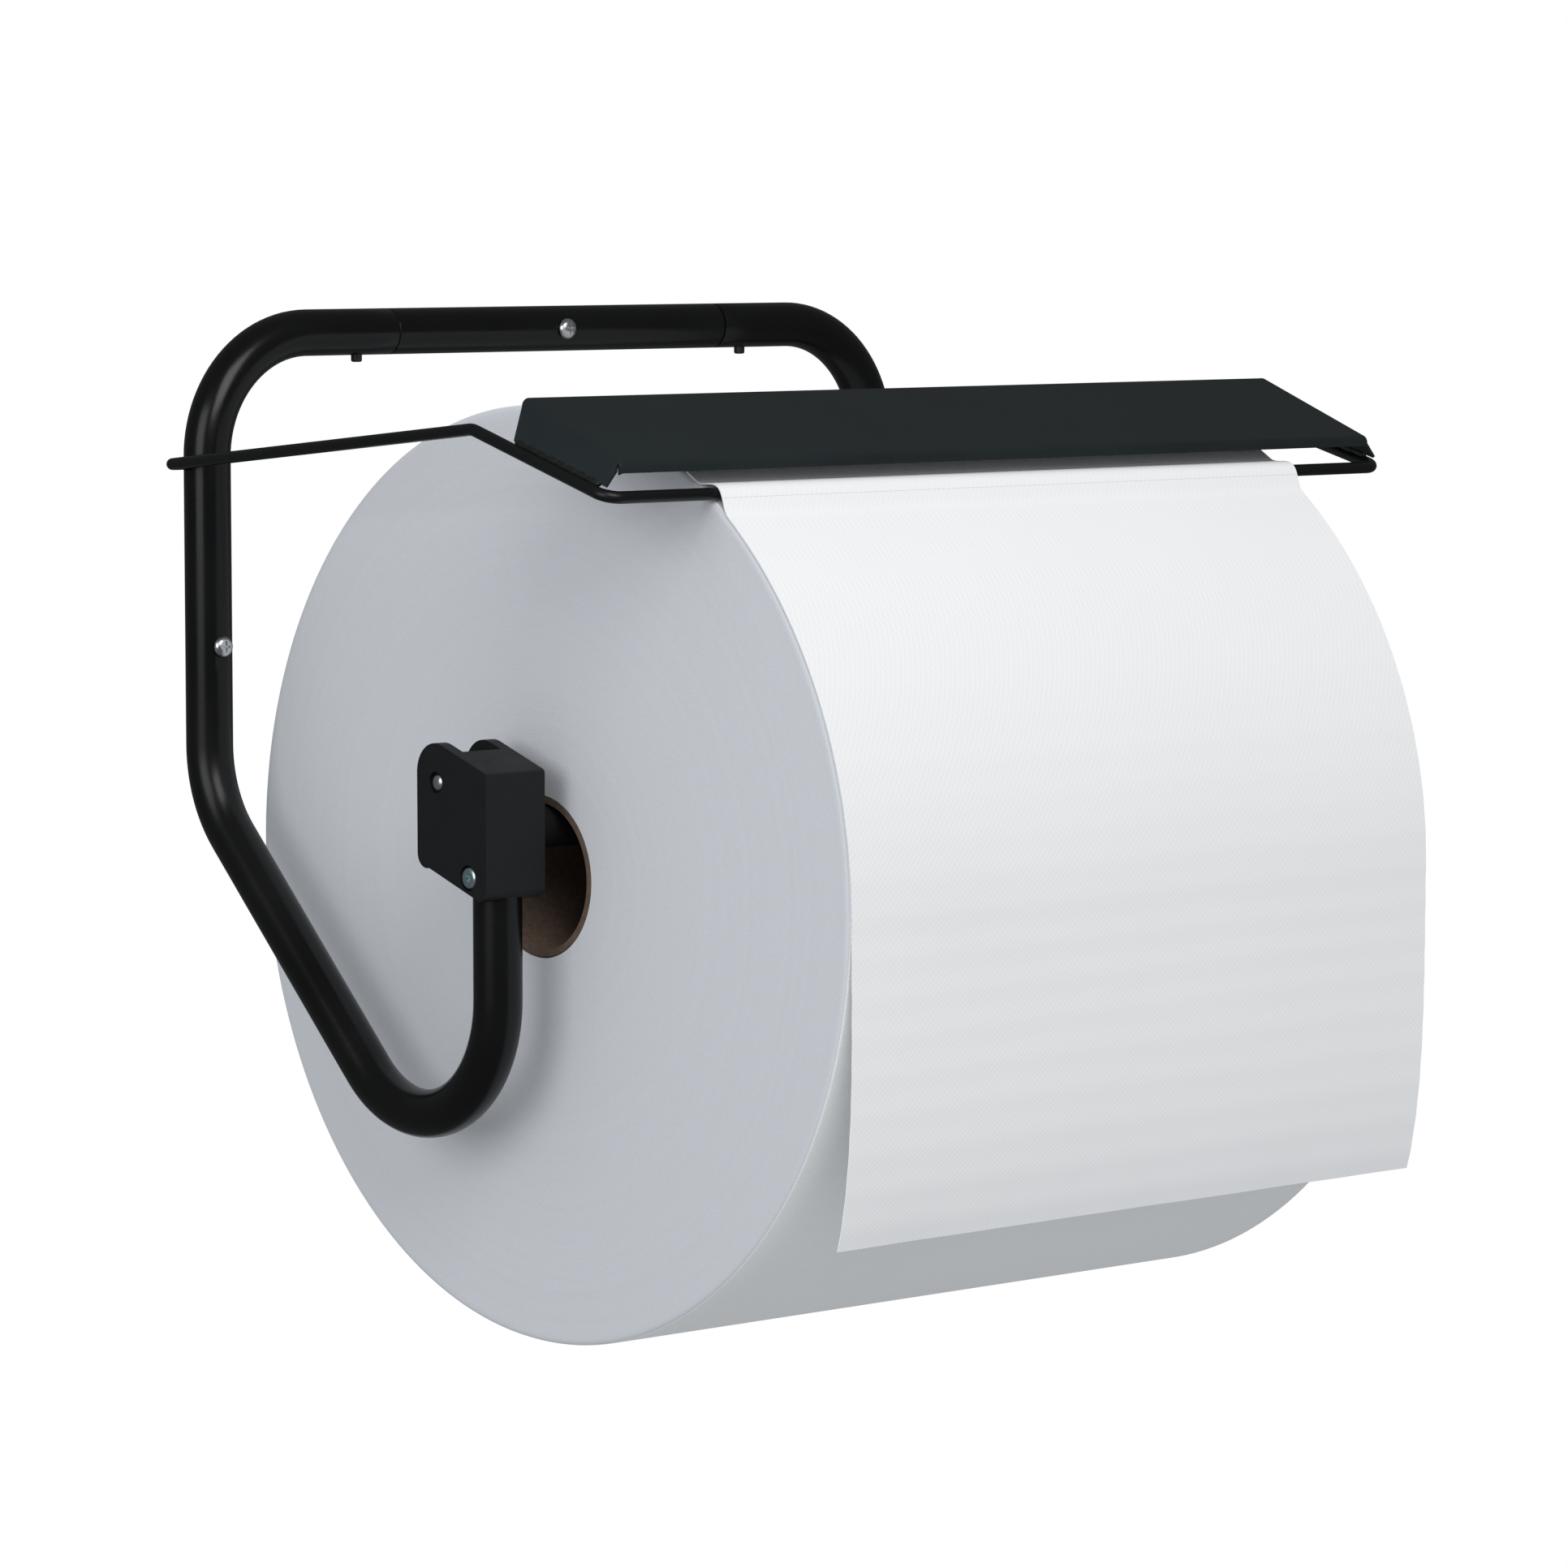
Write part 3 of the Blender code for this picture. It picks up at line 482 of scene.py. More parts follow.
def cardboard(name):
    mat, t, b = new_material(name, (0.30, 0.19, 0.12), 0.9, Specular_IOR_Level=0.2)
    c = coords(t)
    sep = node(t, "ShaderNodeSeparateXYZ")
    t.links.new(c, sep.inputs[0])
    fibre = noise_tex(t, c, 420.0, 5.0, 0.7)
    # the winding's helical seams: X plus the turn about the axis
    turn = node(t, "ShaderNodeMath", operation="ARCTAN2")
    t.links.new(sep.outputs["Y"], turn.inputs[0])
    t.links.new(sep.outputs["Z"], turn.inputs[1])
    helix = node(t, "ShaderNodeMath", operation="MULTIPLY_ADD")
    t.links.new(turn.outputs[0], helix.inputs[0])
    helix.inputs[1].default_value = 0.070 / (2 * math.pi)
    t.links.new(sep.outputs["X"], helix.inputs[2])
    k = node(t, "ShaderNodeMath", operation="WRAP")
    t.links.new(helix.outputs[0], k.inputs[0])
    k.inputs[1].default_value = 0.035
    k.inputs[2].default_value = -0.035
    seam = node(t, "ShaderNodeMath", operation="ABSOLUTE")
    t.links.new(k.outputs[0], seam.inputs[0])
    edge = remap(t, seam.outputs[0], 1.0, 0.0, 0.0, 0.0016)
    col = mix_color(t, remap(t, fibre, 0, 1, 0.3, 0.7), (0.085, 0.058, 0.043), (0.14, 0.100, 0.075))
    t.links.new(mix_color(t, edge, col, (0.06, 0.04, 0.03)), b.inputs["Base Color"])
    bump(t, b, fibre, 0.4, 0.0002)
    return mat


tube_mat = powder_coat("black_tube_coat", (0.0036, 0.0037, 0.0039), 0.25, spec=0.30)
wire_mat = powder_coat("black_wire_coat", (0.0045, 0.0048, 0.0050), 0.33, 500.0, spec=0.34)
plate_mat = powder_coat("plate_coat", (0.0118, 0.0175, 0.0190), 0.44, 520.0, 0.00004, spec=0.3)
weld_mat = powder_coat("weld_coat", (0.0075, 0.0080, 0.0080), 0.34, 300.0, 0.0001)
block_mat = moulded_plastic("cradle_moulding", (0.0090, 0.0095, 0.0104), 0.55)
nylon_mat = moulded_plastic("spindle_nylon", (0.012, 0.012, 0.013), 0.45)
blue_mat = zinc("blue_passivated_zinc", (0.50, 0.70, 0.74), (0.62, 0.74, 0.76), 0.30)
bright_mat = zinc("bright_zinc_plate", (0.62, 0.63, 0.65), (0.72, 0.72, 0.72), 0.27)
spring_mat = steel("spring_wire", (0.33, 0.34, 0.36), 0.33)
rod_mat = steel("black_oxide_rod", (0.075, 0.076, 0.080), 0.38)
paper_mat = sheet_paper("embossed_paper")
# end faces of the roll: paper edges, with painted shade in part of their base colour
end_face_shaded_mat = wound_edge("wound_edges_painted_shade")
card_mat = cardboard("core_board")


# ===========================================================================
# pieces
# ===========================================================================
def place(obj, body, slot, *nodes):
    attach(obj, body)
    if nodes:
        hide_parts(*nodes)
    return obj


def recentre(obj, origin):
    """Moves a mesh so that its object's origin is at a point, in millimetres, with the shape left where it was."""
    o = Vector(origin) * MM
    obj.data.transform(Matrix.Translation(-o))
    obj.location = o


def build_tubes():
    for sign in (-1, 1):
        side = "left" if sign < 0 else "right"
        x = sign * X_SIDE
        corners = [(sign * X_SEAM, Y_TUBE, 0), (x, Y_TUBE, 0), (x, Y_TUBE, Z_LOWER_BEND), (x, Y_STUB, Z_V), (x, Y_STUB, Z_STUB_TOP)]
        path = densify(filleted(corners, [BEND_R] * 3, 3.5), 14.0)
        # the open end is eased a little, so the seam shows as a fine groove
        p0, t0 = path[0]
        obj = finish_mesh(f"tube_{side}", sweep(path, (0, 1, 0), TUBE_R, 56, BORE_R), tube_mat)
        cuts = [
            cutter(cylinder((x, -24, Z_SIDE_SCREW), (x, 4, Z_SIDE_SCREW), 2.8, 24)),
            cutter(cylinder((x - 14, *PIVOT), (x + 14, *PIVOT), WIRE_R + 0.35, 24)),
            cutter(cylinder((sign * X_BUTTON, Y_TUBE, -14), (sign * X_BUTTON, Y_TUBE, -5), 2.75, 24, (0, 1, 0))),
            cutter(cylinder((x - 14, *BOLT), (x + 14, *BOLT), 2.8, 16)),
        ]
        boolean(obj, cuts, 38)
        bevel(obj, 0.35, 2, 50, 38)
        place(obj, "frame", "black_tube", f"{side}_side_tube")
    s = 8.15
    e, xs = 124.0, X_SEAM - 0.45
    outer = [(-e, s), (-xs, s), (-xs, 9.5), (-xs + 0.5, 10.0), (xs - 0.5, 10.0), (xs, 9.5), (xs, s), (e, s)]
    inner = [(e, 6.7), (xs - 3, 6.7), (xs - 6, BORE_R), (-xs + 6, BORE_R), (-xs + 3, 6.7), (-e, 6.7)]
    bar = finish_mesh("tube_crossbar", lathe(outer + inner, (0, Y_TUBE, 0), (1, 0, 0), (0, 1, 0), 56), tube_mat)
    boolean(
        bar,
        [
            cutter(cylinder((0, -24, 0), (0, 4, 0), 2.8, 24)),
            cutter(cylinder((-X_BUTTON, Y_TUBE, -12), (-X_BUTTON, Y_TUBE, -4), 2.75, 24, (0, 1, 0))),
            cutter(cylinder((X_BUTTON, Y_TUBE, -12), (X_BUTTON, Y_TUBE, -4), 2.75, 24, (0, 1, 0))),
        ],
        38,
    )
    place(bar, "frame", "black_tube", "crossbar_tube")


def build_buttons():
    for sign in (-1, 1):
        side = "left" if sign < 0 else "right"
        low = -13.0
        top = -5.3 - low
        r = 2.4
        dome = [(0.0, 0)] + [(0.9 * (1 - math.cos(math.radians(a))), (r - 0.9) + 0.9 * math.sin(math.radians(a))) for a in range(0, 91, 15)]
        prof = dome + [(top, r), (top, r + 1.1), (top + 1.2, r + 1.1), (top + 1.2, 0)]
        obj = finish_mesh(f"button_{side}", lathe(prof, (sign * X_BUTTON, Y_TUBE, low), (0, 0, 1), (0, 1, 0), 32), button_mat)
        place(obj, f"{side}_button", "black_tube", f"{side}_snap_button")


def build_wall_screws():
    for name, x, z in (("top", 0.0, 0.0), ("left", -X_SIDE, Z_SIDE_SCREW), ("right", X_SIDE, Z_SIDE_SCREW)):
        head = [(-3.1, 0), (-3.1, 1.4), (-3.02, 2.2), (-2.8, 3.0), (-2.35, 3.7), (-1.7, 4.2), (-0.95, 4.5), (-0.3 - 0.25, 4.6), (-0.3, 4.45), (-0.3, 2.05)]
        prof = head[:]
        a = 2.0
        while a < 17.4:  # thread, as rings: a coarse woodscrew thread has a pitch of 1.8
            prof += [(a, 1.75), (a + 0.5, 1.8), (a + 0.8, 2.4), (a + 1.0, 2.4), (a + 1.3, 1.8)]
            a += 1.8
        prof += [(19.2, 1.8), (19.4, 1.6), (19.4, 0)]
        obj = finish_mesh(f"screw_{name}", lathe(prof, (x, -20.0, z), (0, 1, 0), (0, 0, 1), 32), bright_mat, 45)
        cuts = []
        for hx, hz in ((2.5, 0.45), (0.45, 2.5)):
            cuts.append(cutter(box_bm((x - hx, -24.5, z - hz), (x + hx, -21.4, z + hz))))
        boolean(obj, cuts, 45)
        bevel(obj, 0.12, 2, 45, 45)
        place(obj, "frame", "bright_zinc", f"{name}_wall_screw")


def tangent_from(py, pz, cy, cz, r):
    d = math.hypot(cy - py, cz - pz)
    a = math.atan2(cz - pz, cy - py) + math.asin(r / d)
    n = math.sqrt(d * d - r * r)
    return py + n * math.cos(a), pz + n * math.sin(a)


def build_cradles():
    ty, tz = tangent_from(Y_FACE, Z_FACE_TOP, EAR[0], EAR[1], EAR_R)
    a_t = math.degrees(math.atan2(tz - EAR[1], ty - EAR[0]))
    outline = (
        [(Y_FACE, -218.6), (-220.9, -220.4), (-219.4, -222.0), (-217.0, -223.0)]
        + arc(-182.2, -206.2, 6.0, -106, 0, 8)
        + arc(EAR[0], EAR[1], EAR_R, 0, a_t, 24)
        + [(Y_FACE + 1.2, Z_FACE_TOP + 0.45), (Y_FACE + 0.35, Z_FACE_TOP - 0.1), (Y_FACE, Z_FACE_TOP - 1.0)]
    )
    for sign in (-1, 1):
        side = "left" if sign < 0 else "right"
        x0, x1 = sorted((sign * X_OUT, sign * X_IN))
        obj = finish_mesh(f"cradle_{side}_block", prism(outline, x0, x1), block_mat, 30)
        out = sign * X_OUT
        cuts = [
            cutter(box_bm((x0 + CHEEK, -199.6, -179.0), (x1 - CHEEK, -160, -150))),
            cutter(cylinder((sign * X_SIDE, Y_STUB, -240), (sign * X_SIDE, Y_STUB, Z_STUB_TOP + 0.3), TUBE_R + 0.3, 48, (0, 1, 0))),
            cutter(cylinder((sign * (X_IN - 4), Y_ROLL, Z_ROD), (sign * 182.0, Y_ROLL, Z_ROD), 7.4, 40)),
            cutter(cylinder((x0 - 4, *BOLT), (x1 + 4, *BOLT), 2.85, 20)),
            cutter(cylinder((x0 - 4, EAR[0], RIVET_Z), (x1 + 4, EAR[0], RIVET_Z), 2.35, 20)),
            cutter(cylinder((out + sign * 3, EAR[0], RIVET_Z), (out - sign * 1.8, EAR[0], RIVET_Z), 4.4, 32)),
            cutter(cylinder((out + sign * 3, *BOLT), (out - sign * HEAD_H, *BOLT), HEAD_R + 0.5, 32)),
        ]
        boolean(obj, cuts, 30)
        bevel(obj, 0.6, 3, 32, 40)
        even_normals(obj)
        place(obj, "frame", "cradle_plastic", f"{side}_cradle")

        face = X_OUT - HEAD_H + 0.3
        length = face - (X_IN - 6.2)
        head = [(-3.6, 0), (-3.6, 3.1), (-3.45, 3.7), (-3.1, 4.2), (-2.6, 4.6), (-2.0, 4.7), (-0.3, 4.7), (0, 4.5), (0, 2.5)]
        prof = head[:]
        a = 12.0
        while a < length - 1.4:
            prof += [(a, 2.15), (a + 0.4, 2.5), (a + 0.5, 2.5)]
            a += 0.8
        prof += [(length - 0.5, 2.1), (length, 1.7), (length, 0)]
        bolt = finish_mesh(f"bolt_{side}", lathe(prof, (sign * face, *BOLT), (-sign, 0, 0), (0, 0, 1), 32), blue_mat, 40)
        hexagon = cutter(lathe([(0, 0), (0, 1.75), (3.2, 1.75), (3.2, 0)], (sign * (face + 4.6), *BOLT), (-sign, 0, 0), (0, 0, 1), 6))
        boolean(bolt, [hexagon], 40)
        place(bolt, "frame", "blue_zinc", f"{side}_cradle_bolt")

        rh = X_OUT - 1.8 + 0.3
        rl = rh - (X_IN - 0.3)
        prof = [(-1.5, 0), (-1.5, 0.9), (-1.42, 1.6), (-1.15, 2.4), (-0.7, 3.1), (-0.2, 3.5), (0, 3.5), (0, 2.0), (rl, 2.0), (rl, 3.3), (rl + 0.5, 3.1), (rl + 1.0, 2.3), (rl + 1.2, 1.2), (rl + 1.2, 0)]
        rivet = finish_mesh(f"rivet_{side}", lathe(prof, (sign * rh, EAR[0], RIVET_Z), (-sign, 0, 0), (0, 0, 1), 32), bright_mat, 40)
        place(rivet, "frame", "bright_zinc", f"{side}_cradle_rivet")

        # hexagon nut with turned corners: a hexagonal prism cut by a cone at each end
        start = X_IN - 0.3
        nut = finish_mesh(f"nut_{side}", hex_nut(sign, start), blue_mat, 30)
        place(nut, "frame", "blue_zinc", f"{side}_cradle_nut")


def hex_nut(sign, start):
    n = 48
    bm = bmesh.new()
    t, u, v = axes_for((-sign, 0, 0), (0, 0, 1))
    base = Vector((sign * start, *BOLT))

    def hex_r(a):
        k = (a + math.pi / 6) % (math.pi / 3) - math.pi / 6
        return 4.0 / math.cos(k)

    rows = []
    for d, cap, inner in ((0.0, 3.9, False), (0.45, 9, False), (3.45, 9, False), (3.9, 3.9, False), (3.9, 2.95, True), (0.0, 2.95, True)):
        row = []
        for i in range(n):
            a = 2 * math.pi * i / n
            r = cap if inner else min(hex_r(a), cap)
            row.append(bm.verts.new(base + t * d + u * (r * math.cos(a)) + v * (r * math.sin(a))))
        rows.append(row)
    for a, b in zip(rows, rows[1:]):
        bridge(bm, a, b)
    bridge(bm, rows[-1], rows[0])
    return bm


def build_spindle():
    here = (0, Y_ROLL, Z_ROD)
    sleeve = [(-181.6, 0), (-181.6, 5.6), (-181.3, 6.4), (-180.6, 7.0), (-165.0, 7.0), (-165.0, 8.4), (-164.4, 9.0)]
    sleeve += [(61.4, 9.0), (62.0, 8.5), (62.0, 7.5), (-46.0, 7.5), (-46.0, 0)]
    obj = finish_mesh("spindle_sleeve_tube", lathe(sleeve, here, (1, 0, 0), (0, 0, 1), 48), nylon_mat)
    place(obj, "spindle", "black_nylon", "spindle_sleeve")
    plunger = [(-8, 0), (-8, 6.2), (-7.2, 7.0), (153, 7.0), (153, 8.3), (153.7, 9.0), (164.3, 9.0), (165, 8.4), (165, 7.0), (180.6, 7.0), (181.3, 6.4), (181.6, 5.6), (181.6, 0)]
    obj = finish_mesh("spindle_plunger_rod", lathe(plunger, here, (1, 0, 0), (0, 0, 1), 48), rod_mat)
    place(obj, "plunger", "rod_steel", "spindle_plunger")


def build_springs():
    """The coil between sleeve and plunger, and the leaf behind each snap button, each given its own origin and its own
    copy of the mesh.
    """
    wire, coil, turns, per_turn = 0.8, 5.6, 5, 30
    x0, x1 = -46.0 + wire + 0.3, -8.0 - wire - 0.3
    path = []
    for k in range(turns * per_turn + 1):
        a = 2 * math.pi * k / per_turn
        pitch = (x1 - x0) / (turns * per_turn)
        p = Vector((x0 + pitch * k, Y_ROLL + coil * math.cos(a), Z_ROD + coil * math.sin(a)))
        t = Vector((pitch * per_turn / (2 * math.pi), -coil * math.sin(a), coil * math.cos(a))).normalized()
        path.append((p, t))
    obj = finish_mesh("spindle_coil", sweep(path, (1, 0, 0), wire, 14), spring_mat, 50)
    recentre(obj, (-46.0, Y_ROLL, Z_ROD))
    place(obj, "spindle", "spring_steel", "spindle_spring")
    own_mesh(obj)

    low, high, t, w = -5.3 + 1.2 + 0.35, 6.7 - 1.6, 0.7, 2.6
    mid = (low + high) / 2
    xa, xb = X_BUTTON + 4.0, X_BUTTON - 15.0
    spine = [(xa, high), (xb + 4, mid + 1.9), (xb + 1.2, mid + 1.1), (xb, mid), (xb + 1.2, mid - 1.1), (xb + 4, mid - 1.9), (X_BUTTON - 3.5, low), (xa, low)]
    spine = [Vector((x, z)) for x, z in spine]
    for _ in range(2):
        new = [spine[0]]
        for p, q in zip(spine, spine[1:]):
            new += [p.lerp(q, 0.25), p.lerp(q, 0.75)]
        spine = new + [spine[-1]]
    inner, outer = [], []
    for i, p in enumerate(spine):
        d = (spine[min(len(spine) - 1, i + 1)] - spine[max(0, i - 1)]).normalized()
        inner.append((p.x, p.y))
        outer.append((p.x - d.y * t, p.y + d.x * t))
    for sign in (-1, 1):
        side = "left" if sign < 0 else "right"
        bm = bmesh.new()
        rows = []
        for (ax, az), (bx, bz) in zip(inner, outer):
            rows.append([bm.verts.new((sign * x, Y_TUBE + y, z)) for x, z, y in ((ax, az, -w), (bx, bz, -w), (bx, bz, w), (ax, az, w))])
        for r, q in zip(rows, rows[1:]):
            bridge(bm, r, q)
        bm.faces.new(rows[0])
        bm.faces.new(rows[-1])
        obj = finish_mesh(f"snap_leaf_{side}", bm, spring_mat, 35)
        recentre(obj, (sign * X_BUTTON, Y_TUBE, high))
        place(obj, "frame", "spring_steel", f"{side}_snap_spring")
        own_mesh(obj)


def build_roll():
    rng = random.Random(7)
    # end faces: the wound edges stand a little in and out in bands
    radii, offs = [], []
    r = ROLL_IR
    while r < ROLL_R - 3.0:
        radii.append(r)
        offs.append(0.07 * noise.noise(Vector((r * 0.19, 3.1, 0))) + 0.025 * (rng.random() - 0.5))
        r += 1.35
    w = ROLL_W / 2
    left = [(-w + 0.25 + o, rr) for rr, o in zip(radii, offs)]
    right = [(w - 0.25 - o, rr) for rr, o in zip(radii, offs[::-1])]
    ease = [(-w + 0.12, ROLL_R - 2.2), (-w + 0.35, ROLL_R - 1.1), (-w + 0.9, ROLL_R - 0.35), (-w + 1.9, ROLL_R)]
    body = [(-w + 1.9 + (2 * w - 3.8) * k / 24, ROLL_R) for k in range(1, 24)]
    prof = left + ease + body + [(-a, b) for a, b in reversed(ease)] + right[::-1]
    bm = lathe(prof, (0, Y_ROLL, Z_ROLL), (1, 0, 0), (0, 0, 1), 192)
    obj = finish_mesh("wound_roll", bm, [paper_mat, end_face_shaded_mat], 0)
    for p in obj.data.polygons:
        if abs(p.normal.x) > 0.5 or math.hypot(p.center.y - Y_ROLL * MM, p.center.z - Z_ROLL * MM) < 0.04:
            p.material_index = 1
    recentre(obj, (0, Y_ROLL, Z_ROLL))
    obj.data.set_sharp_from_angle(angle=math.radians(50))
    place(obj, "roll", "paper", "paper_roll")

    cw = (ROLL_W - 0.6) / 2
    prof = [(-cw, CORE_IR + 0.3), (-cw - 0.0, CORE_OR - 0.4), (-cw + 0.4, CORE_OR), (cw - 0.4, CORE_OR), (cw, CORE_OR - 0.4), (cw, CORE_IR + 0.3), (cw - 0.4, CORE_IR)]
    prof += [(cw - 0.4 - (2 * cw - 0.8) * k / 12, CORE_IR) for k in range(1, 13)]
    core = finish_mesh("board_core", lathe(prof, (0, Y_ROLL, Z_ROLL), (1, 0, 0), (0, 0, 1), 96), card_mat, 40)
    recentre(core, (0, Y_ROLL, Z_ROLL))
    place(core, "roll", "cardboard", "core_tube")


def build_tear_bar():
    half = [(-X_LEG, *PIVOT), (-X_PIVOT, *PIVOT), (-CREST[0], CREST[1], CREST[2]), (-X_BAR, Y_BAR, Z_BAR)]
    pts = half + [(-x, y, z) for x, y, z in reversed(half)]
    path = densify(filleted(pts, [5.0, 12.0, 7.0, 7.0, 12.0, 5.0], 7.0), 8.0)
    obj = finish_mesh("tear_wire_bent", sweep(path, (0, 0, 1), WIRE_R, 28), wire_mat)
    bevel(obj, 0.4, 2, 60)
    place(obj, "tear_bar", "black_wire", "tear_bar_wire")


def wire_at(y):
    k = (y - CREST[1]) / (Y_BAR - CREST[1])
    return CREST[0] + k * (X_BAR - CREST[0]), CREST[2] + k * (Z_BAR - CREST[2])


def build_plate():
    """The folded cover: sloping top with rounded ends that come down to the wires, and a lip along the front."""
    bend = 3.5
    ks = [0.0, 0.02, 0.2, 0.4, 0.6, 0.8, 0.92, 1.0]
    bm = bmesh.new()
    rows = []
    n_top = 28
    for k in ks:
        xh = PLATE_REAR[0] + k * (PLATE_FRONT[0] - PLATE_REAR[0])
        y = PLATE_REAR[1] + k * (PLATE_FRONT[1] - PLATE_REAR[1])
        z = PLATE_REAR[2] + k * (PLATE_FRONT[2] - PLATE_REAR[2])
        wx, wz = wire_at(y)
        fz = wz + WIRE_R / math.cos(0.28) + 1.0 + 0.6 * k
        fx = wx - 0.3
        row = [(-fx, y, fz), (-(fx * 0.5 + (xh + 0.6) * 0.5), y, fz * 0.5 + (z - bend) * 0.5)]
        for s in range(9):
            a = math.radians(90 * s / 8)
            row.append((-(xh + 0.6 - bend + bend * math.cos(a)), y, z - bend + bend * math.sin(a)))
        x_in = xh + 0.6 - bend
        row += [(-x_in + 2 * x_in * j / n_top, y, z) for j in range(1, n_top // 2)]
        mid = [(0.0, y, z)]
        row = row + mid + [(-x, yy, zz) for x, yy, zz in reversed(row)]
        rows.append([bm.verts.new(p) for p in row])
    for a, b in zip(rows, rows[1:]):
        bridge(bm, a, b, close=False)
    front = rows[-1][7:-7]
    prev = front
    # fold: a small radius, then straight down
    for dy, dz in ((-0.42, -0.35), (-0.75, -0.95), (-0.9, -1.7), (-0.9, -3.0), (-0.9, -LIP_H)):
        cur = [bm.verts.new(v.co + Vector((0, dy, dz))) for v in front]
        bridge(bm, prev, cur, close=False)
        prev = cur
    bmesh.ops.recalc_face_normals(bm, faces=bm.faces)
    if sum(f.normal.z * f.calc_area() for f in bm.faces) < 0:
        bmesh.ops.reverse_faces(bm, faces=bm.faces)
    for v in bm.verts:
        v.co *= MM
    mesh = bpy.data.meshes.new("folded_plate")
    bm.to_mesh(mesh)
    bm.free()
    obj = bpy.data.objects.new("folded_plate", mesh)
    bpy.context.scene.collection.objects.link(obj)
    mesh.materials.append(plate_mat)
    m = obj.modifiers.new("sheet", "SOLIDIFY")
    m.thickness, m.offset, m.use_even_offset = 1.2 * MM, -1.0, True
    apply_modifiers(obj, 40)
    bevel(obj, 0.3, 2, 60, 40)
    even_normals(obj)
    place(obj, "tear_bar", "plate_paint", "tear_plate")

    # weld beads between the ends' feet and the wires
    for sign in (-1, 1):
        for j, y0 in enumerate((-256.0, -262.5, -269.0, -275.5, -282.0, -288.5, -295.0, -301.5)):
            bm = bmesh.new()
            bmesh.ops.create_icosphere(bm, subdivisions=3, radius=1.0)
            x, z = wire_at(y0)
            slope = math.atan2(Z_BAR - CREST[2], Y_BAR - CREST[1])
            for v in bm.verts:
                w = 1.0 + 0.12 * noise.noise(v.co * 2.1 + Vector((j, sign, 0)))
                p = Vector((v.co.x * 1.3 * w, v.co.y * 5.0 * w, v.co.z * 1.7 * w))
                p.rotate(Matrix.Rotation(slope - math.pi, 3, "X"))
                v.co = p + Vector((sign * (x - 1.0), y0, z + WIRE_R + 0.75))
            bead = finish_mesh(f"weld_{'left' if sign < 0 else 'right'}_{j}", bm, weld_mat, 0)
            place(bead, "tear_bar", "black_wire")


def paper_point(a, bar, bar_d, clear):
    off = math.radians(a - bar) * bar_d
    lift = bar_d + math.sqrt(clear * clear - off * off) if abs(off) < clear * 0.98 else 0.0
    span = 12.0
    swell = SHEET_REST + (bar_d + clear + 0.1 - SHEET_REST) * (0.5 + 0.5 * math.cos(math.pi * off / span)) if abs(off) < span else SHEET_REST
    r = max(lift, swell, SHEET_REST)
    return Y_ROLL + r * math.cos(math.radians(a)), Z_ROLL + r * math.sin(math.radians(a))


def cloth_grid(name, mid, width, thickness, columns, lift):
    """A thin closed sheet from a path of (y, z) points, with a height added to its outer side by lift(x, s)."""
    bm = bmesh.new()
    pts = [Vector(p) for p in mid]
    length = [0.0]
    for p, q in zip(pts, pts[1:]):
        length.append(length[-1] + (q - p).length)
    top, bottom = [], []
    for i, p in enumerate(pts):
        d = (pts[min(len(pts) - 1, i + 1)] - pts[max(0, i - 1)]).normalized()
        n = Vector((-d.y, d.x))
        if n.dot(p - Vector((Y_ROLL, Z_ROLL))) < 0:
            n = -n
        ra, rb = [], []
        for j in range(columns + 1):
            x = -width / 2 + width * j / columns
            h = lift(x, length[i], length[-1])
            ra.append(bm.verts.new((x, p.x + n.x * (h + thickness / 2), p.y + n.y * (h + thickness / 2))))
            rb.append(bm.verts.new((x, p.x + n.x * (h - thickness / 2), p.y + n.y * (h - thickness / 2))))
        top.append(ra)
        bottom.append(rb)
    for rows in (top, bottom):
        for a, b in zip(rows, rows[1:]):
            bridge(bm, a, b, close=False)
    for side in (0, -1):
        for i in range(len(pts) - 1):
            bm.faces.new((top[i][side], top[i + 1][side], bottom[i + 1][side], bottom[i][side]))
    for end in (0, -1):
        for j in range(columns):
            bm.faces.new((top[end][j], top[end][j + 1], bottom[end][j + 1], bottom[end][j]))
    return finish_mesh(name, bm, paper_mat, 60, weld=0), length[-1]


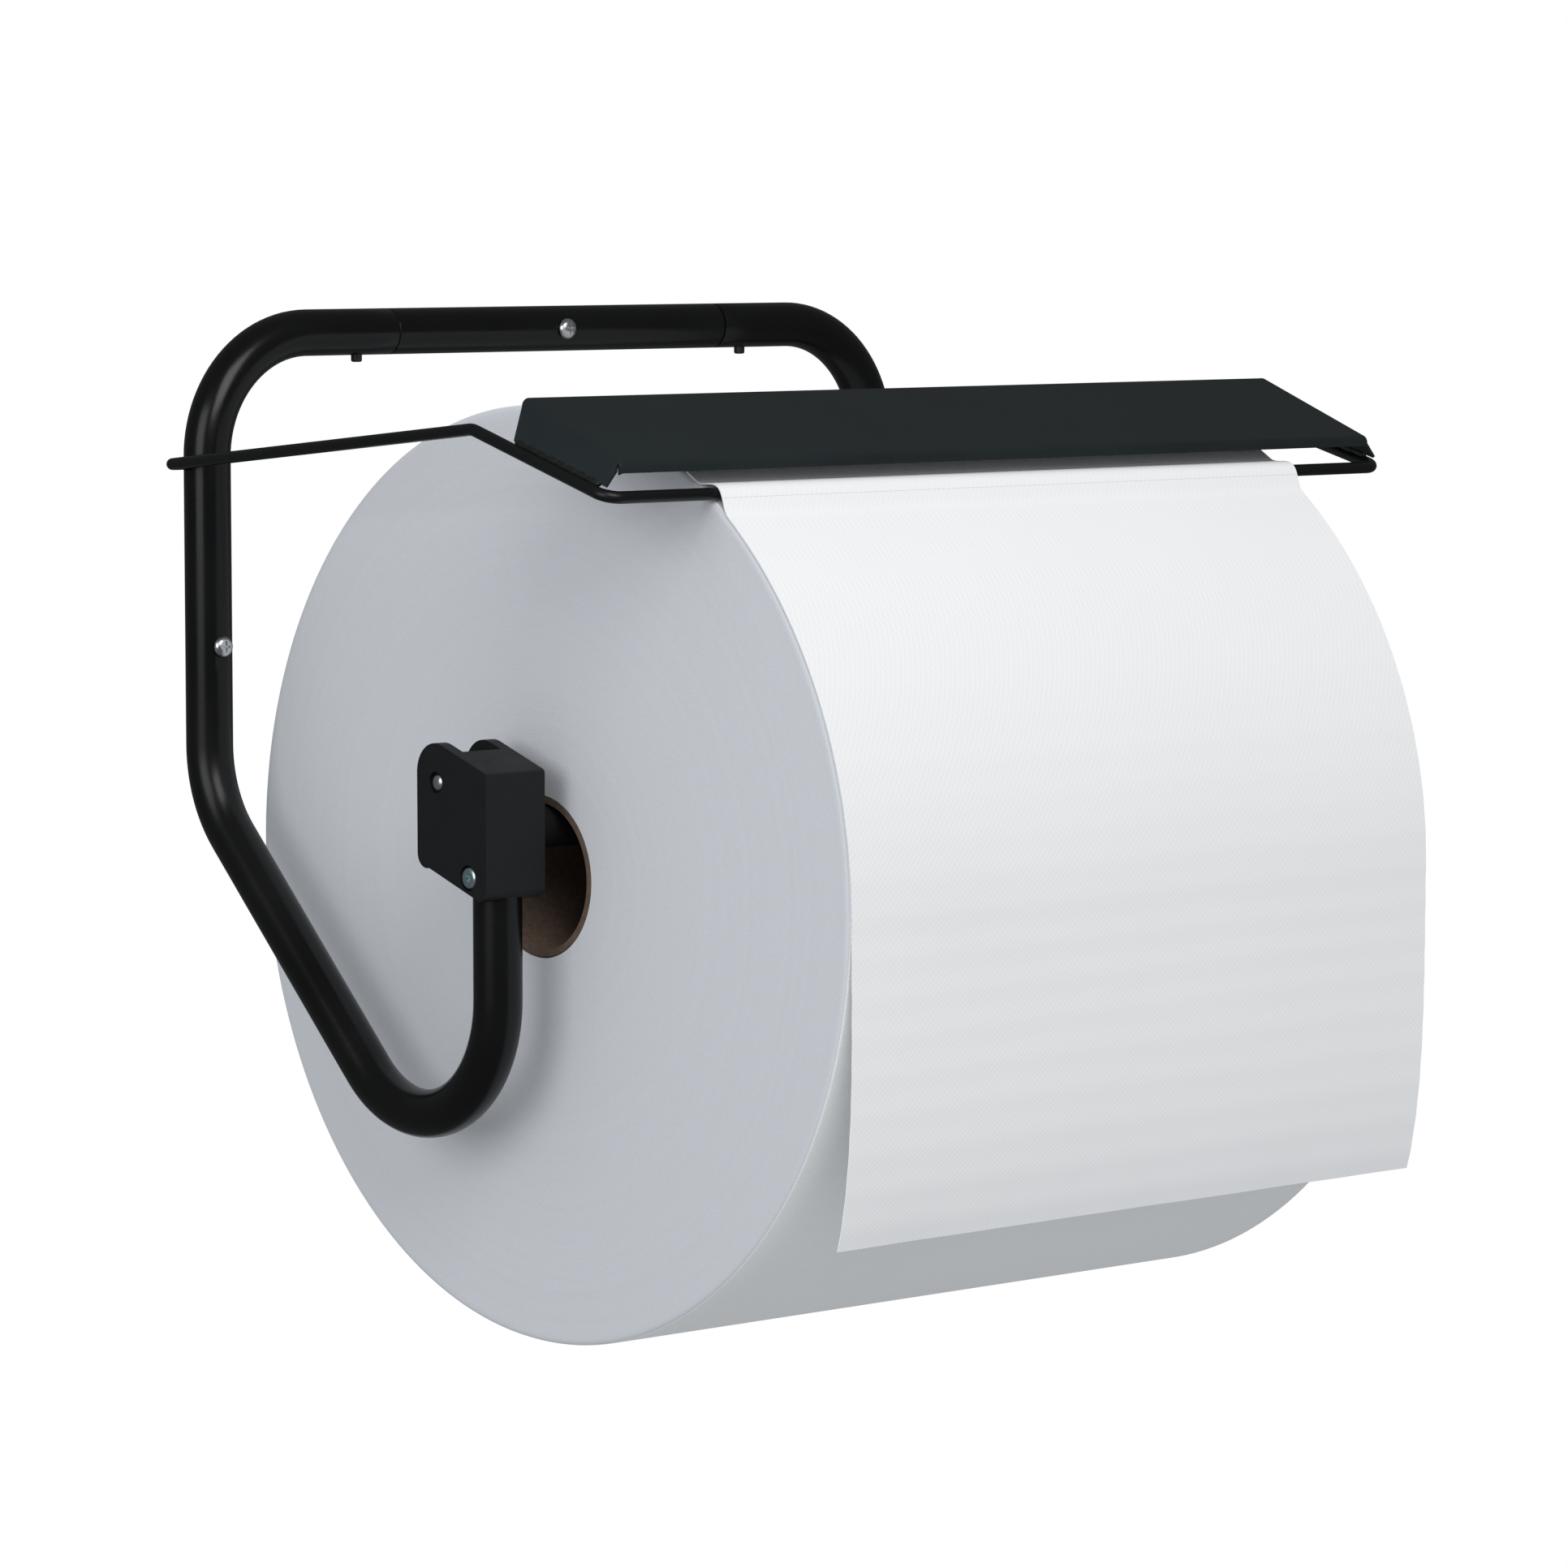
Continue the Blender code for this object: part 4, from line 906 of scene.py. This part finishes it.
def build_sheets():
    bar = math.degrees(math.atan2(Z_BAR - Z_ROLL, Y_BAR - Y_ROLL))
    bar_d = math.hypot(Y_BAR - Y_ROLL, Z_BAR - Z_ROLL)
    clear = WIRE_R + 0.35 + 0.3
    split = bar + 1.35
    n = 44
    nip = [paper_point(bar - 5.6 + (split - bar + 5.6) * k / n, bar, bar_d, clear) for k in range(n + 1)]
    obj, long_a = cloth_grid("sheet_under_bar", nip, ROLL_W - 0.6, 0.45, 60, lambda x, s, e: 0.0)
    recentre(obj, (0, Y_ROLL, Z_ROLL))
    place(obj, "tear_bar", "paper", "sheet_in_tear_bar")

    gap = math.degrees(0.05 / SHEET_REST)
    mid = [paper_point(split + gap + 6.0 * k / 24, bar, bar_d, clear) for k in range(25)]
    for k in range(1, 61):
        a = split + gap + 6.0 + (181.5 - split - gap - 6.0) * k / 60
        mid.append((Y_ROLL + SHEET_REST * math.cos(math.radians(a)), Z_ROLL + SHEET_REST * math.sin(math.radians(a))))
    y0, z0 = mid[-1]
    drop = z0 - Z_SHEET_END
    for k in range(1, 61):
        s = k / 60
        mid.append((y0 + 0.4 * s + 9.0 * s**4, z0 - drop * s))

    def lift(x, s, end):
        free = min(1.0, max(0.0, (s - 60.0) / 120.0))
        fall = min(1.0, max(0.0, (s - 150.0) / 150.0))
        soft = 0.55 * (noise.noise(Vector((x * 0.010, s * 0.012, 4.2))) + 0.6)
        ripple = 0.16 * (1 + math.sin(s * 2 * math.pi / 15.0 + 0.6 * noise.noise(Vector((x * 0.01, s * 0.02, 9.0))))) * 0.5
        side = -1.1 * fall * (x / 160.0) + 0.9 * fall * (x / 160.0) ** 2
        hem = 0.5 * noise.noise(Vector((x * 0.03, 0.0, 2.0))) * max(0.0, 1 - (end - s) / 25.0)
        return free * (max(0.0, soft) + ripple) + side * 0.6 + hem * fall + 0.35 * fall

    obj, long_b = cloth_grid("sheet_hanging", mid, ROLL_W - 0.6, 0.45, 80, lift)
    recentre(obj, (0, Y_ROLL, Z_ROLL))
    place(obj, "frame", "paper", "hanging_sheet")


button_mat = powder_coat("button_coat", (0.012, 0.012, 0.012), 0.30, 500.0)
build_tubes()
build_buttons()
build_wall_screws()
build_cradles()
build_spindle()
build_roll()
build_tear_bar()
build_plate()
build_sheets()
build_springs()


# ===========================================================================
# lights and camera
# ===========================================================================
def area_light(name, where, target, size, power, color=(1, 1, 1)):
    data = bpy.data.lights.new(name, "AREA")
    data.shape = "RECTANGLE"
    data.size, data.size_y = size
    data.energy = power
    data.color = color
    obj = bpy.data.objects.new(name, data)
    obj.location = where
    obj.visible_camera = False
    obj.rotation_euler = (Vector(target) - Vector(where)).to_track_quat("-Z", "Y").to_euler()
    bpy.context.scene.collection.objects.link(obj)
    return obj


world = bpy.data.worlds.new("studio")
world.use_nodes = True
wt = world.node_tree
back = wt.nodes["Background"]
back.inputs["Color"].default_value = (1.0, 1.0, 1.0, 1)
back.inputs["Strength"].default_value = 1.0
room = node(wt, "ShaderNodeBackground")
room.inputs["Color"].default_value = (0.955, 0.98, 1.0, 1)
room.inputs["Strength"].default_value = 0.52
dark = node(wt, "ShaderNodeBackground")
dark.inputs["Color"].default_value = (0.95, 0.98, 1.0, 1)
dark.inputs["Strength"].default_value = 0.11
path = wt.nodes.new("ShaderNodeLightPath")
gloss = wt.nodes.new("ShaderNodeMixShader")
wt.links.new(path.outputs["Is Glossy Ray"], gloss.inputs[0])
wt.links.new(room.outputs[0], gloss.inputs[1])
wt.links.new(dark.outputs[0], gloss.inputs[2])
blend = wt.nodes.new("ShaderNodeMixShader")
wt.links.new(path.outputs["Is Camera Ray"], blend.inputs[0])
wt.links.new(gloss.outputs[0], blend.inputs[1])
wt.links.new(back.outputs[0], blend.inputs[2])
wt.links.new(blend.outputs[0], wt.nodes["World Output"].inputs["Surface"])
bpy.context.scene.world = world
target = (0, -0.2, -0.2)
area_light("key", (-0.75, -1.86, 1.20), target, (1.3, 1.3), 24.5, (1.0, 0.985, 0.965))
area_light("left_fill", (-2.6, -0.7, 0.5), target, (1.6, 1.6), 21, (0.97, 0.985, 1.0))

cam_data = bpy.data.cameras.new("camera")
cam_data.sensor_fit = "HORIZONTAL"
cam_data.sensor_width = 36.0
cam_data.lens = 7653.5 / 1932 * 36
cam_data.clip_start, cam_data.clip_end = 0.05, 60.0
camera = bpy.data.objects.new("camera", cam_data)
camera.location = (-1.71227, -2.17573, 0.05877)
camera.rotation_euler = (math.radians(90 - 5.416), 0.0, math.radians(-40.459))
bpy.context.scene.collection.objects.link(camera)
bpy.context.scene.camera = camera
bpy.context.scene.view_settings.view_transform = "Standard"
